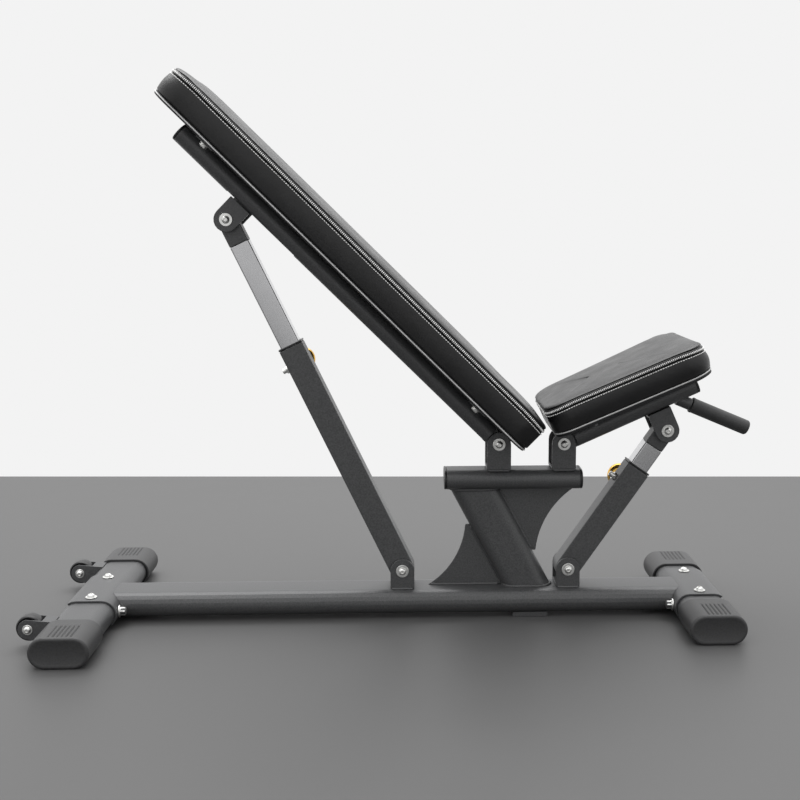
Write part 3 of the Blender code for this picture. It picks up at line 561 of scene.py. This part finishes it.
COARSE_Q = np.concatenate([np.linspace(0, 1, 5), np.linspace(1, 2, 3)[1:], np.linspace(2, 3, 11)[1:],
                           np.linspace(3, 4, 4)[1:], np.linspace(4, 5, 14)[1:]])
moves = {}
for pad, columns in ((BACK, 150), (SEAT, 96)):
    moves[pad.kind] = blow_up(pad, COARSE_Q, columns)
    print(pad.kind, "cover moved at most", round(float(np.abs(moves[pad.kind]).max()) * 1000, 1), "mm")


# %% Sew the covers
def seamed_skin(pad, count, rows_q):
    """The blown skin with its two seams pressed in: depth exp(-((z - seam) / width)^2) along the normal."""
    rest = pad.grid(rows_q, count)
    _, normal, _ = pad_plan(*pad.plan, count)
    kept = pad.freedom(normal)[None, :, None] * pad.calm(rest[..., :1])
    skin = rest + resample(moves[pad.kind], COARSE_Q, rows_q, count) * kept
    height = rest[..., 2:]
    side = ((rows_q > 1.9) & (rows_q < 3.6))[:, None, None]
    press = 0.0022 * np.exp(-((height - pad.seams[0]) / 0.0011) ** 2)
    press = press + 0.0018 * np.exp(-((height - pad.seams[1]) / 0.0010) ** 2)
    skin[..., :2] -= np.where(side, press, 0.0) * normal[None]
    return skin


def row_at(pad, height):
    """The section parameter on the side band at a height."""
    low = pad.base + 0.0045
    return 2 + (height - low) / (pad.seams[0] - low)


def stitch_row(pad, height, pitch, length, thick, upright=False, proud=0.0003):
    """Capsules of thread along the skin: each is a 6-sided tube that closes at both ends.

    p(a, b) = place + a-th step along the stitch + r(a) (cos b out + sin b across), where r falls to 0 at
    both ends.
    """
    count = int(round(pad_plan(*pad.plan, 200)[2] / pitch))
    skin = seamed_skin(pad, count, np.array([row_at(pad, height)]))[0]
    _, normal, _ = pad_plan(*pad.plan, count)
    out = np.concatenate([normal, np.zeros((count, 1))], 1)
    level = np.cross([0.0, 0.0, 1.0], out)
    up = np.broadcast_to([0.0, 0.0, 1.0], out.shape)
    run, across = (up, level) if upright else (level, up)
    a = np.array([-0.5, -0.42, 0.0, 0.42, 0.5]) * length
    r = np.array([0.0, 0.8, 1.0, 0.8, 0.0]) * thick / 2
    dip = np.array([-0.5, -0.15, 0.25, -0.15, -0.5]) * thick
    b = np.arange(6) * np.pi / 3
    ring = (np.cos(b)[None, :, None, None] * out + np.sin(b)[None, :, None, None] * across)
    points = (skin + out * proud + a[:, None, None, None] * run + dip[:, None, None, None] * out
              + r[:, None, None, None] * ring)
    points = np.moveaxis(points, 2, 0).reshape(-1, 3)
    single = grid_faces(5, 6)
    faces = (single[None] + (np.arange(count) * 30)[:, None, None]).reshape(-1, 4)
    return points, faces


def bead_round(pad, height, inset, radius, count=360, sides=10):
    """A round bead along the outline: p(s, t) = outline + (r cos t - inset) normal, z = height + r sin t."""
    outline, normal, _ = pad_plan(*pad.plan, count)
    t = np.arange(sides) * 2 * np.pi / sides
    flat = outline[:, None] + (radius * np.cos(t) - inset)[None, :, None] * normal[:, None]
    up = np.broadcast_to((height + radius * np.sin(t))[None, :, None], (count, sides, 1))
    return np.concatenate([flat, up], -1).reshape(-1, 3), grid_faces(count, sides, loop=True)


def pad_board(pad, low, high, inset=0.002, edge=0.0015, count=240):
    """The board: the outline moved in, with a quarter-round edge above and below."""
    outline, normal, _ = pad_plan(*pad.plan, count)
    t = np.linspace(0, np.pi / 2, 4)
    out = np.concatenate([[-edge], edge * np.sin(t) - edge, edge * np.cos(t) - edge, [-edge]]) - inset
    z = np.concatenate([[low], low + edge * (1 - np.cos(t)), high - edge * (1 - np.sin(t)), [high]])
    share = np.concatenate([[1.0], np.zeros(8), [1.0]])
    flat = outline[None] + out[:, None, None] * normal[None]
    spine = np.stack([np.clip(flat[..., 0], *pad.spine), np.zeros(flat.shape[:2])], -1)
    flat = flat + share[:, None, None] * (spine - flat)
    up = np.broadcast_to(z[:, None, None], (*flat.shape[:2], 1))
    return np.concatenate([flat, up], -1).reshape(-1, 3), grid_faces(len(z), count)


LADDER_HEIGHT = 0.0889       # the ladder of stitches between the two seams
TOPSTITCH_HEIGHT = 0.0812    # the single row under the lower seam
FINE_Q = np.concatenate([np.linspace(0, 1, 5), np.linspace(1, 2, 6)[1:], np.linspace(2, 2.72, 12)[1:],
                         np.linspace(2.72, 3, 26)[1:], np.linspace(3, 4, 12)[1:],
                         4 + np.linspace(0, 1, 25)[1:] ** 1.15])
for pad, columns, body, painted_highlight_bead, board in ((BACK, 620, "backrest", 0.0325, (0.0283, 0.0363)),
                                           (SEAT, 340, "seat", 0.0380, (0.0308, 0.0398))):
    skin = pad.to_bench(seamed_skin(pad, columns, FINE_Q).reshape(-1, 3))
    cushion = add_piece(pad.kind + "_cushion_cover", (skin, grid_faces(len(FINE_Q), columns)), LEATHER, body,
                        [pad.kind + "_cushion"], 60.0)
    rows = [stitch_row(pad, LADDER_HEIGHT, 0.0036, 0.0048, 0.0021, upright=True),
            stitch_row(pad, TOPSTITCH_HEIGHT, 0.0052, 0.0041, 0.0019)]
    points, faces = joined(rows)
    add_piece(pad.kind + "_stitching", (pad.to_bench(points), faces), THREAD, body)
    points, faces = pad_board(pad, *board)
    add_piece(pad.kind + "_pad_board", (pad.to_bench(points), faces), BOARD, body,
              [pad.kind + "_board"])
    # A bead where the cover meets the board, coloured light grey as a painted highlight.
    points, faces = bead_round(pad, painted_highlight_bead, 0.0016, 0.0014)
    add_piece(pad.kind + "_beading", (pad.to_bench(points), faces), PAINTED_HIGHLIGHT_BEAD, body)
print("covers sewn")

# %% [markdown]
# ## Bolts
#
# Pivot bolts are button heads with a hexagon socket over a flat washer, and a self-locking hexagon nut
# on the far side. They are cold formed and zinc plated, so every rim is slightly rounded. Each one is a
# profile turned about its axis, with the socket and nut rows pulled out to a hexagon.


# %% Bolts
def washer_rows(radius, inner, low, high):
    """Half section of a flat washer with broken edges, from its top to its underside."""
    e = 0.0005
    return [(inner, high), (radius - e, high), (radius, high - e), (radius, low + e), (radius - e, low)]


def button_head(radius, tall, base):
    """A domed head over height base: a hexagon socket, then a dome r = R cos a, h = H sin a."""
    a = np.linspace(np.radians(62), np.radians(4), 7)
    dome = [(radius * math.cos(t), base + tall * math.sin(t) / math.sin(a[0])) for t in a]
    socket, top = radius * 0.50, base + tall
    floor = top - tall * 0.55
    return [(0.0, floor), (socket, floor, 1.0), (socket, top - 0.0003, 1.0)] + dome + [(radius, base)]


def lock_nut(radius, base, tall):
    """A hexagon nut under height base, with the round collar that holds its locking ring."""
    return [(radius * 0.9, base), (radius, base - 0.0008, 1.0), (radius, base - tall * 0.70, 1.0),
            (radius * 0.86, base - tall * 0.78), (radius * 0.74, base - tall), (radius * 0.46, base - tall),
            (radius * 0.46, base - tall * 0.8), (0.0, base - tall * 0.8)]


def middle(node):
    """The middle of a CAD part's box."""
    low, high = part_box(node)
    return (np.array(low) + np.array(high)) / 2


def swap(name, surface, material, node):
    """A finished piece in place of one CAD part."""
    return add_piece(name, surface, material, NODES[node]["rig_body"], [node])


EAR_FACE = 0.0326                # from the middle of the bench to the outside of an ear
HEAD_SEAT = EAR_FACE + 0.0020    # to the outside of the washer on it
SHANK = 0.0079                   # radius of a pivot bolt
PIVOT_HEAD = button_head(0.0080, 0.0062, HEAD_SEAT)
PIVOT_WASHER = washer_rows(0.0130, 0.0080, EAR_FACE, HEAD_SEAT)
THROUGH_BOLTS = ("back_post_base_bolt", "seat_post_base_bolt", "back_hinge_bolt", "seat_hinge_bolt",
                 "seat_top_bolt")
for node in THROUGH_BOLTS:
    centre = middle(node) * (1, 0, 1)
    profile = (PIVOT_HEAD + PIVOT_WASHER + [(SHANK, EAR_FACE), (SHANK, -EAR_FACE)]
               + [(r, -h) for r, h in reversed(PIVOT_WASHER)]
               + lock_nut(0.0092, -EAR_FACE - 0.0020, 0.0085))
    swap(node + "_set", lathe(profile, centre, (0, -1, 0), 36), ZINC, node)
for node, side in (("back_top_bolt_right", -1), ("back_top_bolt_left", 1)):
    centre = middle(node) * (1, 0, 1)
    profile = (PIVOT_HEAD + PIVOT_WASHER
               + [(SHANK, EAR_FACE), (SHANK, EAR_FACE - 0.0057), (0.0, EAR_FACE - 0.0057)])
    swap(node + "_set", lathe(profile, centre, (0, side, 0), 36), ZINC, node)
SADDLE_HEAD = button_head(0.0078, 0.0062, 0.0020) + washer_rows(0.0115, 0.0078, 0.0, 0.0020) + [(0.0, 0.0)]
SIDE_HEAD = [(0.0, 0.0150), (0.0045, 0.0148), (0.0075, 0.0140, 1.0), (0.0092, 0.0125, 1.0),
             (0.0092, 0.0040, 1.0), (0.0088, 0.0030)]
SIDE_HEAD += washer_rows(0.0125, 0.0088, 0.0, 0.0026) + [(0.0, 0.0)]
for end, inward in (("rear", 1), ("front", -1)):
    sides = []
    for side in ("right", "left"):
        node = f"{end}_saddle_bolt_{side}"
        low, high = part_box(node)
        centre = (*middle(node)[:2], low.z)
        swap(node + "_head", lathe(SADDLE_HEAD, centre, (0, 0, 1), 30), ZINC, node)
        y = math.copysign(0.068, centre[1])
        x = (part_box(end + "_cross_tube")[1 if inward > 0 else 0].x) + inward * 0.0042
        sides.append(lathe(SIDE_HEAD, (x, y, 0.030), (inward, 0, 0), 30))
    add_piece(end + "_saddle_side_bolts", joined(sides), ZINC, "base")
BRACKET_HEAD = [(0.0, -0.0082), (0.0050, -0.0081), (0.0078, -0.0072, 1.0), (0.0088, -0.0062, 1.0),
                (0.0088, -0.0022, 1.0), (0.0085, -0.0018)]
BRACKET_HEAD += [(r, -h) for r, h in washer_rows(0.0105, 0.0085, 0.0, 0.0016)] + [(0.0, 0.0)]
BRACKET_UP = turned_about_y((0, 0, 1), np.zeros(3), BACK.angle)
heads = []
for x in (-0.828, -0.089):
    for y in (-0.057, 0.057):
        place = turned_about_y((x, y, 0.0222), BACK.pivot, BACK.angle)
        heads.append(lathe(BRACKET_HEAD, place, BRACKET_UP, 24))
add_piece("back_bracket_bolts", joined(heads), ZINC, "backrest")
print("bolts placed")

# %% [markdown]
# ## Rubber shoes
#
# Each foot ends in a moulded rubber shoe pushed over the tube. Its rim is rounded, and six grooves in
# its flat top, running along the foot, give a sole some hold. The shoe is one closed surface: its
# section goes round the flat oval while its profile goes from the pocket, over the lip, along the
# outside and in over the end.


# %% Rubber shoes
def oval_ring(radius, reach):
    """Points and outward normals round a flat oval; the flat top is sampled finely for the grooves."""
    top = np.linspace(reach, -reach, 75)
    left = np.linspace(np.pi / 2, 3 * np.pi / 2, 17)[1:-1]
    bottom = np.linspace(-reach, reach, 9)
    right = np.linspace(-np.pi / 2, np.pi / 2, 17)[1:-1]
    points = np.concatenate([np.stack([top, np.full(75, radius)], 1),
                             np.stack([-reach + radius * np.cos(left), radius * np.sin(left)], 1),
                             np.stack([bottom, np.full(9, -radius)], 1),
                             np.stack([reach + radius * np.cos(right), radius * np.sin(right)], 1)])
    spine = np.stack([np.clip(points[:, 0], -reach, reach), np.zeros(len(points))], 1)
    return points, (points - spine) / radius, spine


def shoe(node, outward):
    """Rows (depth from the end, offset, share to the middle), with grooves cut into the top.

    Each groove lowers the top by 2.5 mm exp(-((x - x_k) / 1.6 mm)^2), faded in and out along the foot.
    """
    low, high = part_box(node)
    centre_x, centre_z = (low.x + high.x) / 2, (low.z + high.z) / 2
    end_y = high.y if outward > 0 else low.y
    radius = (high.z - low.z) / 2
    reach = (high.x - low.x) / 2 - radius
    ring, normal, spine = oval_ring(radius, reach)
    t = np.linspace(0, np.pi / 2, 7)
    wall, length, edge, lip = 0.0047, high.y - low.y, 0.0050, 0.0012
    depth = np.concatenate([[0.0055, 0.0055, length - lip], length - lip * (1 - np.sin(t[1:])),
                            length - lip * (1 - np.cos(t[1:])), np.linspace(length - 0.004, edge + 0.001, 40),
                            edge * (1 - np.sin(t)), [0.0008, 0.0014, 0.0014]])
    offset = np.concatenate([[-wall, -wall, -wall], -wall + lip * (1 - np.cos(t[1:])),
                             -lip * (1 - np.sin(t[1:])), np.zeros(40), -edge * (1 - np.cos(t)),
                             [-0.0085, -0.0100, -0.0100]])
    share = np.concatenate([[1.0], np.zeros(len(depth) - 2), [1.0]])
    flat = ring[None] + offset[:, None, None] * normal[None]
    flat = flat + share[:, None, None] * (spine[None] - flat)
    outer = (np.arange(len(depth)) > 14) & (np.arange(len(depth)) < len(depth) - 3)
    fade = np.clip((depth - 0.0065) / 0.003, 0, 1) * np.clip((0.074 - depth) / 0.004, 0, 1) * outer
    lines = -0.0185 + 0.0082 * np.arange(6)
    groove = np.exp(-((ring[:, 0, None] - lines) / 0.0016) ** 2).sum(1) * (normal[:, 1] > 0.99)
    flat[..., 1] -= 0.0025 * fade[:, None] * groove[None]
    y = end_y - outward * np.broadcast_to(depth[:, None], flat.shape[:2])
    points = np.stack([centre_x + flat[..., 0], y, centre_z + flat[..., 1]], -1)
    return points.reshape(-1, 3), grid_faces(len(depth), len(ring))


for end in ("rear", "front"):
    for side, outward in (("right", -1), ("left", 1)):
        node = f"{end}_foot_cap_{side}"
        swap(node + "_shoe", shoe(node, outward), RUBBER, node)
print("shoes fitted")

# %% [markdown]
# ## Wheels, knobs and grip
#
# Two small wheels let the bench roll when it is lifted by its handle. They are moulded plastic with a
# crowned tread and a dished side. The knobs of the spring pins are turned aluminium, anodised gold, on
# a plated sleeve with a hexagon shoulder. The handle is a steel stub in a smooth rubber grip with a
# narrow collar at its root.


# %% Wheels
WHEEL_RADIUS, WHEEL_HALF = 0.025, 0.014
for side, sign in (("right", -1), ("left", 1)):
    centre = middle("wheel_" + side)
    rim = np.array([(0.0045, WHEEL_HALF), (0.0092, WHEEL_HALF), (0.0110, 0.0095), (0.0180, 0.0090),
                    (0.0200, 0.0125), (0.0222, 0.0138), (0.0246, 0.0110), (WHEEL_RADIUS, 0.0)])
    profile = rounded(np.concatenate([rim, (rim * (1, -1))[::-1][1:]]), 0.0012)
    profile = np.concatenate([profile, profile[:1]])
    swap(f"wheel_{side}_tyre", lathe(profile, centre, (0, 1, 0), 48), PLASTIC, "wheel_" + side)
    node = "wheel_axle_" + side
    profile = (button_head(0.0075, 0.0055, 0.0210) + washer_rows(0.0098, 0.0075, 0.0193, 0.0210)
               + [(0.0040, 0.0193), (0.0040, -0.0193), (0.0080, -0.0193)] + lock_nut(0.0080, -0.0200, 0.0075))
    axle = middle(node) * (1, 0, 1) + (0, centre[1], 0)
    swap(node + "_bolt", lathe(profile, axle, (0, -1, 0), 30), ZINC, node)
print("wheels turned")

# %% Knobs of the spring pins
POST_SIDE = 0.025    # from a post's axis to its face
for kind in ("back", "seat"):
    node = kind + "_pull_pin"
    low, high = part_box(node)
    centre = middle(node) * (1, 0, 1)
    tip, top = low.y, high.y
    face = POST_SIDE + 0.0190
    knob = rounded([(0.0, top), (0.0120, top - 0.0004), (0.0222, top - 0.0030), (0.0258, top - 0.0100),
                    (0.0254, top - 0.0170), (0.0200, top - 0.0235), (0.0105, top - 0.0262),
                    (0.0, top - 0.0262)], 0.0035, 6)
    add_piece(kind + "_pin_knob", lathe(knob, centre, (0, 1, 0), 48), GOLD, node, [node])
    sleeve = [(0.0, top - 0.0258), (0.0085, top - 0.0258), (0.0085, face + 0.0075), (0.0122, face + 0.0068),
              (0.0135, face + 0.0058, 1.0), (0.0135, face + 0.0014, 1.0), (0.0122, face + 0.0006),
              (0.0050, face + 0.0006), (0.0050, tip + 0.0015), (0.0035, tip), (0.0, tip)]
    add_piece(kind + "_pin_sleeve", lathe(sleeve, centre, (0, 1, 0), 36), CHROME, node)
    collar = [(0.0126, 0.0003), (0.0165, 0.0003), (0.0172, 0.0010), (0.0172, 0.0032), (0.0165, 0.0040),
              (0.0126, 0.0040), (0.0126, 0.0003)]
    add_piece(kind + "_pin_collar", lathe(collar, centre + (0, POST_SIDE, 0), (0, 1, 0), 36), ZINC,
              kind + "_post")
print("knobs set")

# %% Anti-rattle bolts
for kind in ("back", "seat"):
    node = kind + "_set_bolt"
    swing = JOINTS[kind + "_post_swing"]["pos_m"]
    slide = unit(JOINTS[kind + "_post_extend"]["axis"])
    out = np.array([-slide[2], 0.0, slide[0]])
    along = (middle(node) - swing) @ slide
    foot = np.array(swing) + slide * along + out * (POST_SIDE + 0.0003)
    profile = [(0.0, 0.0100), (0.0028, 0.0100, 1.0), (0.0028, 0.0134, 1.0), (0.0046, 0.0138),
               (0.0056, 0.0130), (0.0056, 0.0060), (0.0078, 0.0060), (0.0086, 0.0054, 1.0),
               (0.0086, 0.0006, 1.0), (0.0078, 0.0), (0.0, 0.0)]
    swap(node + "_screw", lathe(profile, foot, out, 30), ZINC, node)
print("anti-rattle bolts set")

# %% Handle grip
GRIP_START = turned_about_y((0.2724, 0.0, -0.0388), np.array(JOINTS["seat_tilt"]["pos_m"]), SEAT_ANGLE)
GRIP_DROP = math.radians(46.7)
GRIP_AXIS = turned_about_y((math.cos(GRIP_DROP), 0.0, -math.sin(GRIP_DROP)), np.zeros(3), SEAT_ANGLE)
GRIP_LENGTH, GRIP_RADIUS, GRIP_END = 0.131, 0.0155, 0.006
COLLAR_RADIUS = GRIP_RADIUS + 0.0006
cap = np.linspace(0, np.pi / 2, 8)
profile = [(0.0, 0.0003), (GRIP_RADIUS - 0.001, 0.0003), (COLLAR_RADIUS, 0.0016), (COLLAR_RADIUS, 0.0050),
           (GRIP_RADIUS, 0.0060), (GRIP_RADIUS, 0.060)]
profile += list(zip(GRIP_RADIUS - GRIP_END + GRIP_END * np.cos(cap),
                    GRIP_LENGTH - GRIP_END + GRIP_END * np.sin(cap)))
profile += [(0.0, GRIP_LENGTH)]
swap("handle_grip_sleeve", lathe(profile, GRIP_START, GRIP_AXIS, 40), RUBBER, "handle_grip")
print("grip fitted")

# %% [markdown]
# ## Weld beads
#
# The upright, its gussets and the clevises are welded on. A bead of molten wire freezes in small
# overlapping scales, and the paint softens it. A bead is a tube along the corner of two parts, half
# sunk in them, whose radius pulses with every scale.


# %% Weld beads
WELD_RADIUS, WELD_PITCH = 0.0026, 0.0042


def bead(path, closed=False):
    """p(s, t) = path(s) + R(s) (cos t u + sin t v), with R = r (1 + 0.16 |sin(pi s / pitch)|)."""
    path = np.asarray(path, float)
    if closed:
        path = np.concatenate([path, path[:1]])
    along = np.concatenate([[0.0], np.cumsum(np.linalg.norm(np.diff(path, axis=0), axis=1))])
    steps = max(int(along[-1] / (WELD_PITCH / 4)), 8)
    s = np.linspace(0, along[-1], steps, endpoint=not closed)
    centre = np.stack([np.interp(s, along, path[:, k]) for k in range(3)], 1)
    ahead = np.roll(centre, -1, axis=0) - np.roll(centre, 1, axis=0)
    if not closed:
        ahead[0], ahead[-1] = centre[1] - centre[0], centre[-1] - centre[-2]
    ahead /= np.linalg.norm(ahead, axis=1)[:, None]
    level = np.array([0.0, 1.0, 0.0]) if np.abs(path[:, 1]).ptp() < 1e-4 else np.array([0.0, 0.0, 1.0])
    u = np.cross(ahead, level)
    u /= np.linalg.norm(u, axis=1)[:, None]
    v = np.cross(ahead, u)
    radius = WELD_RADIUS * (1 + 0.16 * np.abs(np.sin(np.pi * s / WELD_PITCH)))
    if not closed:
        radius = radius * np.sqrt(np.clip(np.minimum(s, along[-1] - s) / 0.003, 0, 1))
    t = np.arange(10) * 2 * np.pi / 10
    points = centre[:, None] + radius[:, None, None] * (np.cos(t)[None, :, None] * u[:, None]
                                                         + np.sin(t)[None, :, None] * v[:, None])
    return points.reshape(-1, 3), grid_faces(steps, 10, loop=closed)


def level_oval(x, z, width, depth, grow):
    """A level ring round a flat oval tube."""
    radius = depth / 2 + grow
    reach = (width - depth) / 2
    t = np.linspace(-np.pi / 2, np.pi / 2, 15)
    right = np.stack([x + reach + radius * np.cos(t), radius * np.sin(t)], 1)
    left = np.stack([x - reach - radius * np.cos(t), -radius * np.sin(t)], 1)
    ring = np.concatenate([right, left])
    return np.concatenate([ring, np.full((30, 1), z)], 1)


upright_low, upright_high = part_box("upright_post")
LEAN = math.radians(27.8)           # of the upright, off the vertical
WIDE = 0.090 / math.cos(LEAN)       # its section on a level plane
DEEP = 0.050
GUSSET_FACE = 0.0034                # a weld runs just outside the gusset's face
foot_x = upright_high.x - WIDE / 2
head_x = upright_low.x + WIDE / 2
beads = [bead(level_oval(foot_x, upright_low.z + 0.0006, WIDE, DEEP, 0.0004), True),
         bead(level_oval(head_x, upright_high.z - 0.0006, WIDE, DEEP, 0.0004), True)]
slope = math.tan(LEAN)
for sign in (-1, 1):
    y = sign * GUSSET_FACE
    low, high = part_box("gusset_rear")
    beads.append(bead([(low.x + 0.004, y, low.z + 0.0008), (high.x - 0.006, y, low.z + 0.0008)]))
    run = (high.z - low.z - 0.004) * slope
    beads.append(bead([(high.x - 0.0006, y, low.z + 0.004), (high.x - run, y, high.z - 0.003)]))
    low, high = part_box("gusset_front")
    beads.append(bead([(low.x + 0.006, y, high.z - 0.0008), (high.x - 0.004, y, high.z - 0.0008)]))
    run = (high.z - low.z - 0.004) * slope
    beads.append(bead([(low.x + 0.0008, y, high.z - 0.004), (low.x + run, y, low.z + 0.003)]))
    for node in ("back_post_base_clevis", "seat_post_base_clevis", "back_hinge_clevis", "seat_hinge_clevis"):
        low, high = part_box(node)
        y = sign * (high.y + 0.0004)
        if "hinge" not in node or high.y < 0.034:
            beads.append(bead([(low.x + 0.002, y, low.z + 0.0004), (high.x - 0.002, y, low.z + 0.0004)]))
add_piece("frame_weld_beads", joined(beads), PAINT, "base", angle=60.0)
print("weld beads:", len(beads))

# %% [markdown]
# ## The studio
#
# The bench stands on a plain grey floor in front of a white wall, in soft light from all round with a
# wide lamp overhead. The floor ends where it meets the wall, and the wall is the white surroundings
# themselves, so nothing hides the bench from any side.


# %% Floor, light and camera
CAMERA_TURN = math.radians(-2.2)
FLOOR_GREY = (0.088, 0.088, 0.088)
WALL_WHITE = (0.896, 0.896, 0.896, 1.0)
WALL_LIGHT = (0.80, 1.05, 0.8)    # light from in front, from behind and from overhead


def floor_sheet(name, half, near, far):
    """A level floor whose far edge lies square to the camera."""
    skew = half * math.tan(CAMERA_TURN)
    mesh = bpy.data.meshes.new(name)
    corners = [(-half, near), (half, near), (half, far + skew), (-half, far - skew)]
    mesh.from_pydata([(x, y, 0.0) for x, y in corners], [], [(0, 1, 2, 3)])
    mesh.materials.append(finish(name, FLOOR_GREY, 0.50, 0.0, 0.40, (0.97, 1.03), 3.0, 0.02,
                                 (300.0, 0.0001, 0.05)))
    sheet = bpy.data.objects.new(name, mesh)
    bpy.context.scene.collection.objects.link(sheet)


def area_light(name, place, aim, size, power):
    """A rectangular lamp that faces a point."""
    lamp = bpy.data.lights.new(name, 'AREA')
    lamp.shape = 'RECTANGLE'
    lamp.size, lamp.size_y = size
    lamp.energy = power
    thing = bpy.data.objects.new(name, lamp)
    bpy.context.scene.collection.objects.link(thing)
    thing.location = place
    direction = thing.location.copy()
    direction.x, direction.y, direction.z = (a - p for a, p in zip(aim, place))
    thing.rotation_euler = direction.to_track_quat('-Z', 'Y').to_euler()


def surroundings(tree):
    """A white wall to the eye; as light it is bright behind the bench and overhead, and dim in front."""
    nodes, links = tree.nodes, tree.links
    nodes.clear()
    axes = nodes.new("ShaderNodeSeparateXYZ")
    links.new(nodes.new("ShaderNodeTexCoord").outputs["Generated"], axes.inputs[0])
    parts = []
    for axis, start, end, low, high in (("Y", -0.25, 0.55, WALL_LIGHT[0], WALL_LIGHT[1]),
                                        ("Z", 0.45, 0.95, 0.0, WALL_LIGHT[2])):
        ramp = nodes.new("ShaderNodeMapRange")
        ramp.interpolation_type = 'SMOOTHSTEP'
        ramp.inputs["From Min"].default_value, ramp.inputs["From Max"].default_value = start, end
        ramp.inputs["To Min"].default_value, ramp.inputs["To Max"].default_value = low, high
        links.new(axes.outputs[axis], ramp.inputs["Value"])
        parts.append(ramp.outputs["Result"])
    total = nodes.new("ShaderNodeMath")
    links.new(parts[0], total.inputs[0])
    links.new(parts[1], total.inputs[1])
    lit = nodes.new("ShaderNodeBackground")
    links.new(total.outputs[0], lit.inputs["Strength"])
    seen = nodes.new("ShaderNodeBackground")
    seen.inputs["Color"].default_value = WALL_WHITE
    lit.inputs["Color"].default_value = (1.0, 1.0, 1.0, 1.0)
    choice = nodes.new("ShaderNodeMixShader")
    links.new(nodes.new("ShaderNodeLightPath").outputs["Is Camera Ray"], choice.inputs[0])
    links.new(lit.outputs[0], choice.inputs[1])
    links.new(seen.outputs[0], choice.inputs[2])
    links.new(choice.outputs[0], nodes.new("ShaderNodeOutputWorld").inputs["Surface"])


scene = bpy.context.scene
floor_sheet("studio_floor", 6.0, -6.0, 1.36)
world = scene.world or bpy.data.worlds.new("studio")
scene.world = world
world.use_nodes = True
surroundings(world.node_tree)
area_light("overhead_lamp", (-0.2, 0.8, 3.0), (0.0, 0.0, 0.3), (3.8, 2.4), 88.0)
scene.view_settings.view_transform = 'Standard'

lens = bpy.data.cameras.new("camera")
lens.lens, lens.sensor_width = 54.0, 36.0
lens.shift_x, lens.shift_y = -0.0639, -0.0185
camera = bpy.data.objects.new("camera", lens)
scene.collection.objects.link(camera)
camera.location = (0.0161, -2.4297, 0.8013)
camera.rotation_euler = (math.radians(82.4), 0.0, CAMERA_TURN)
scene.camera = camera
print("studio ready")
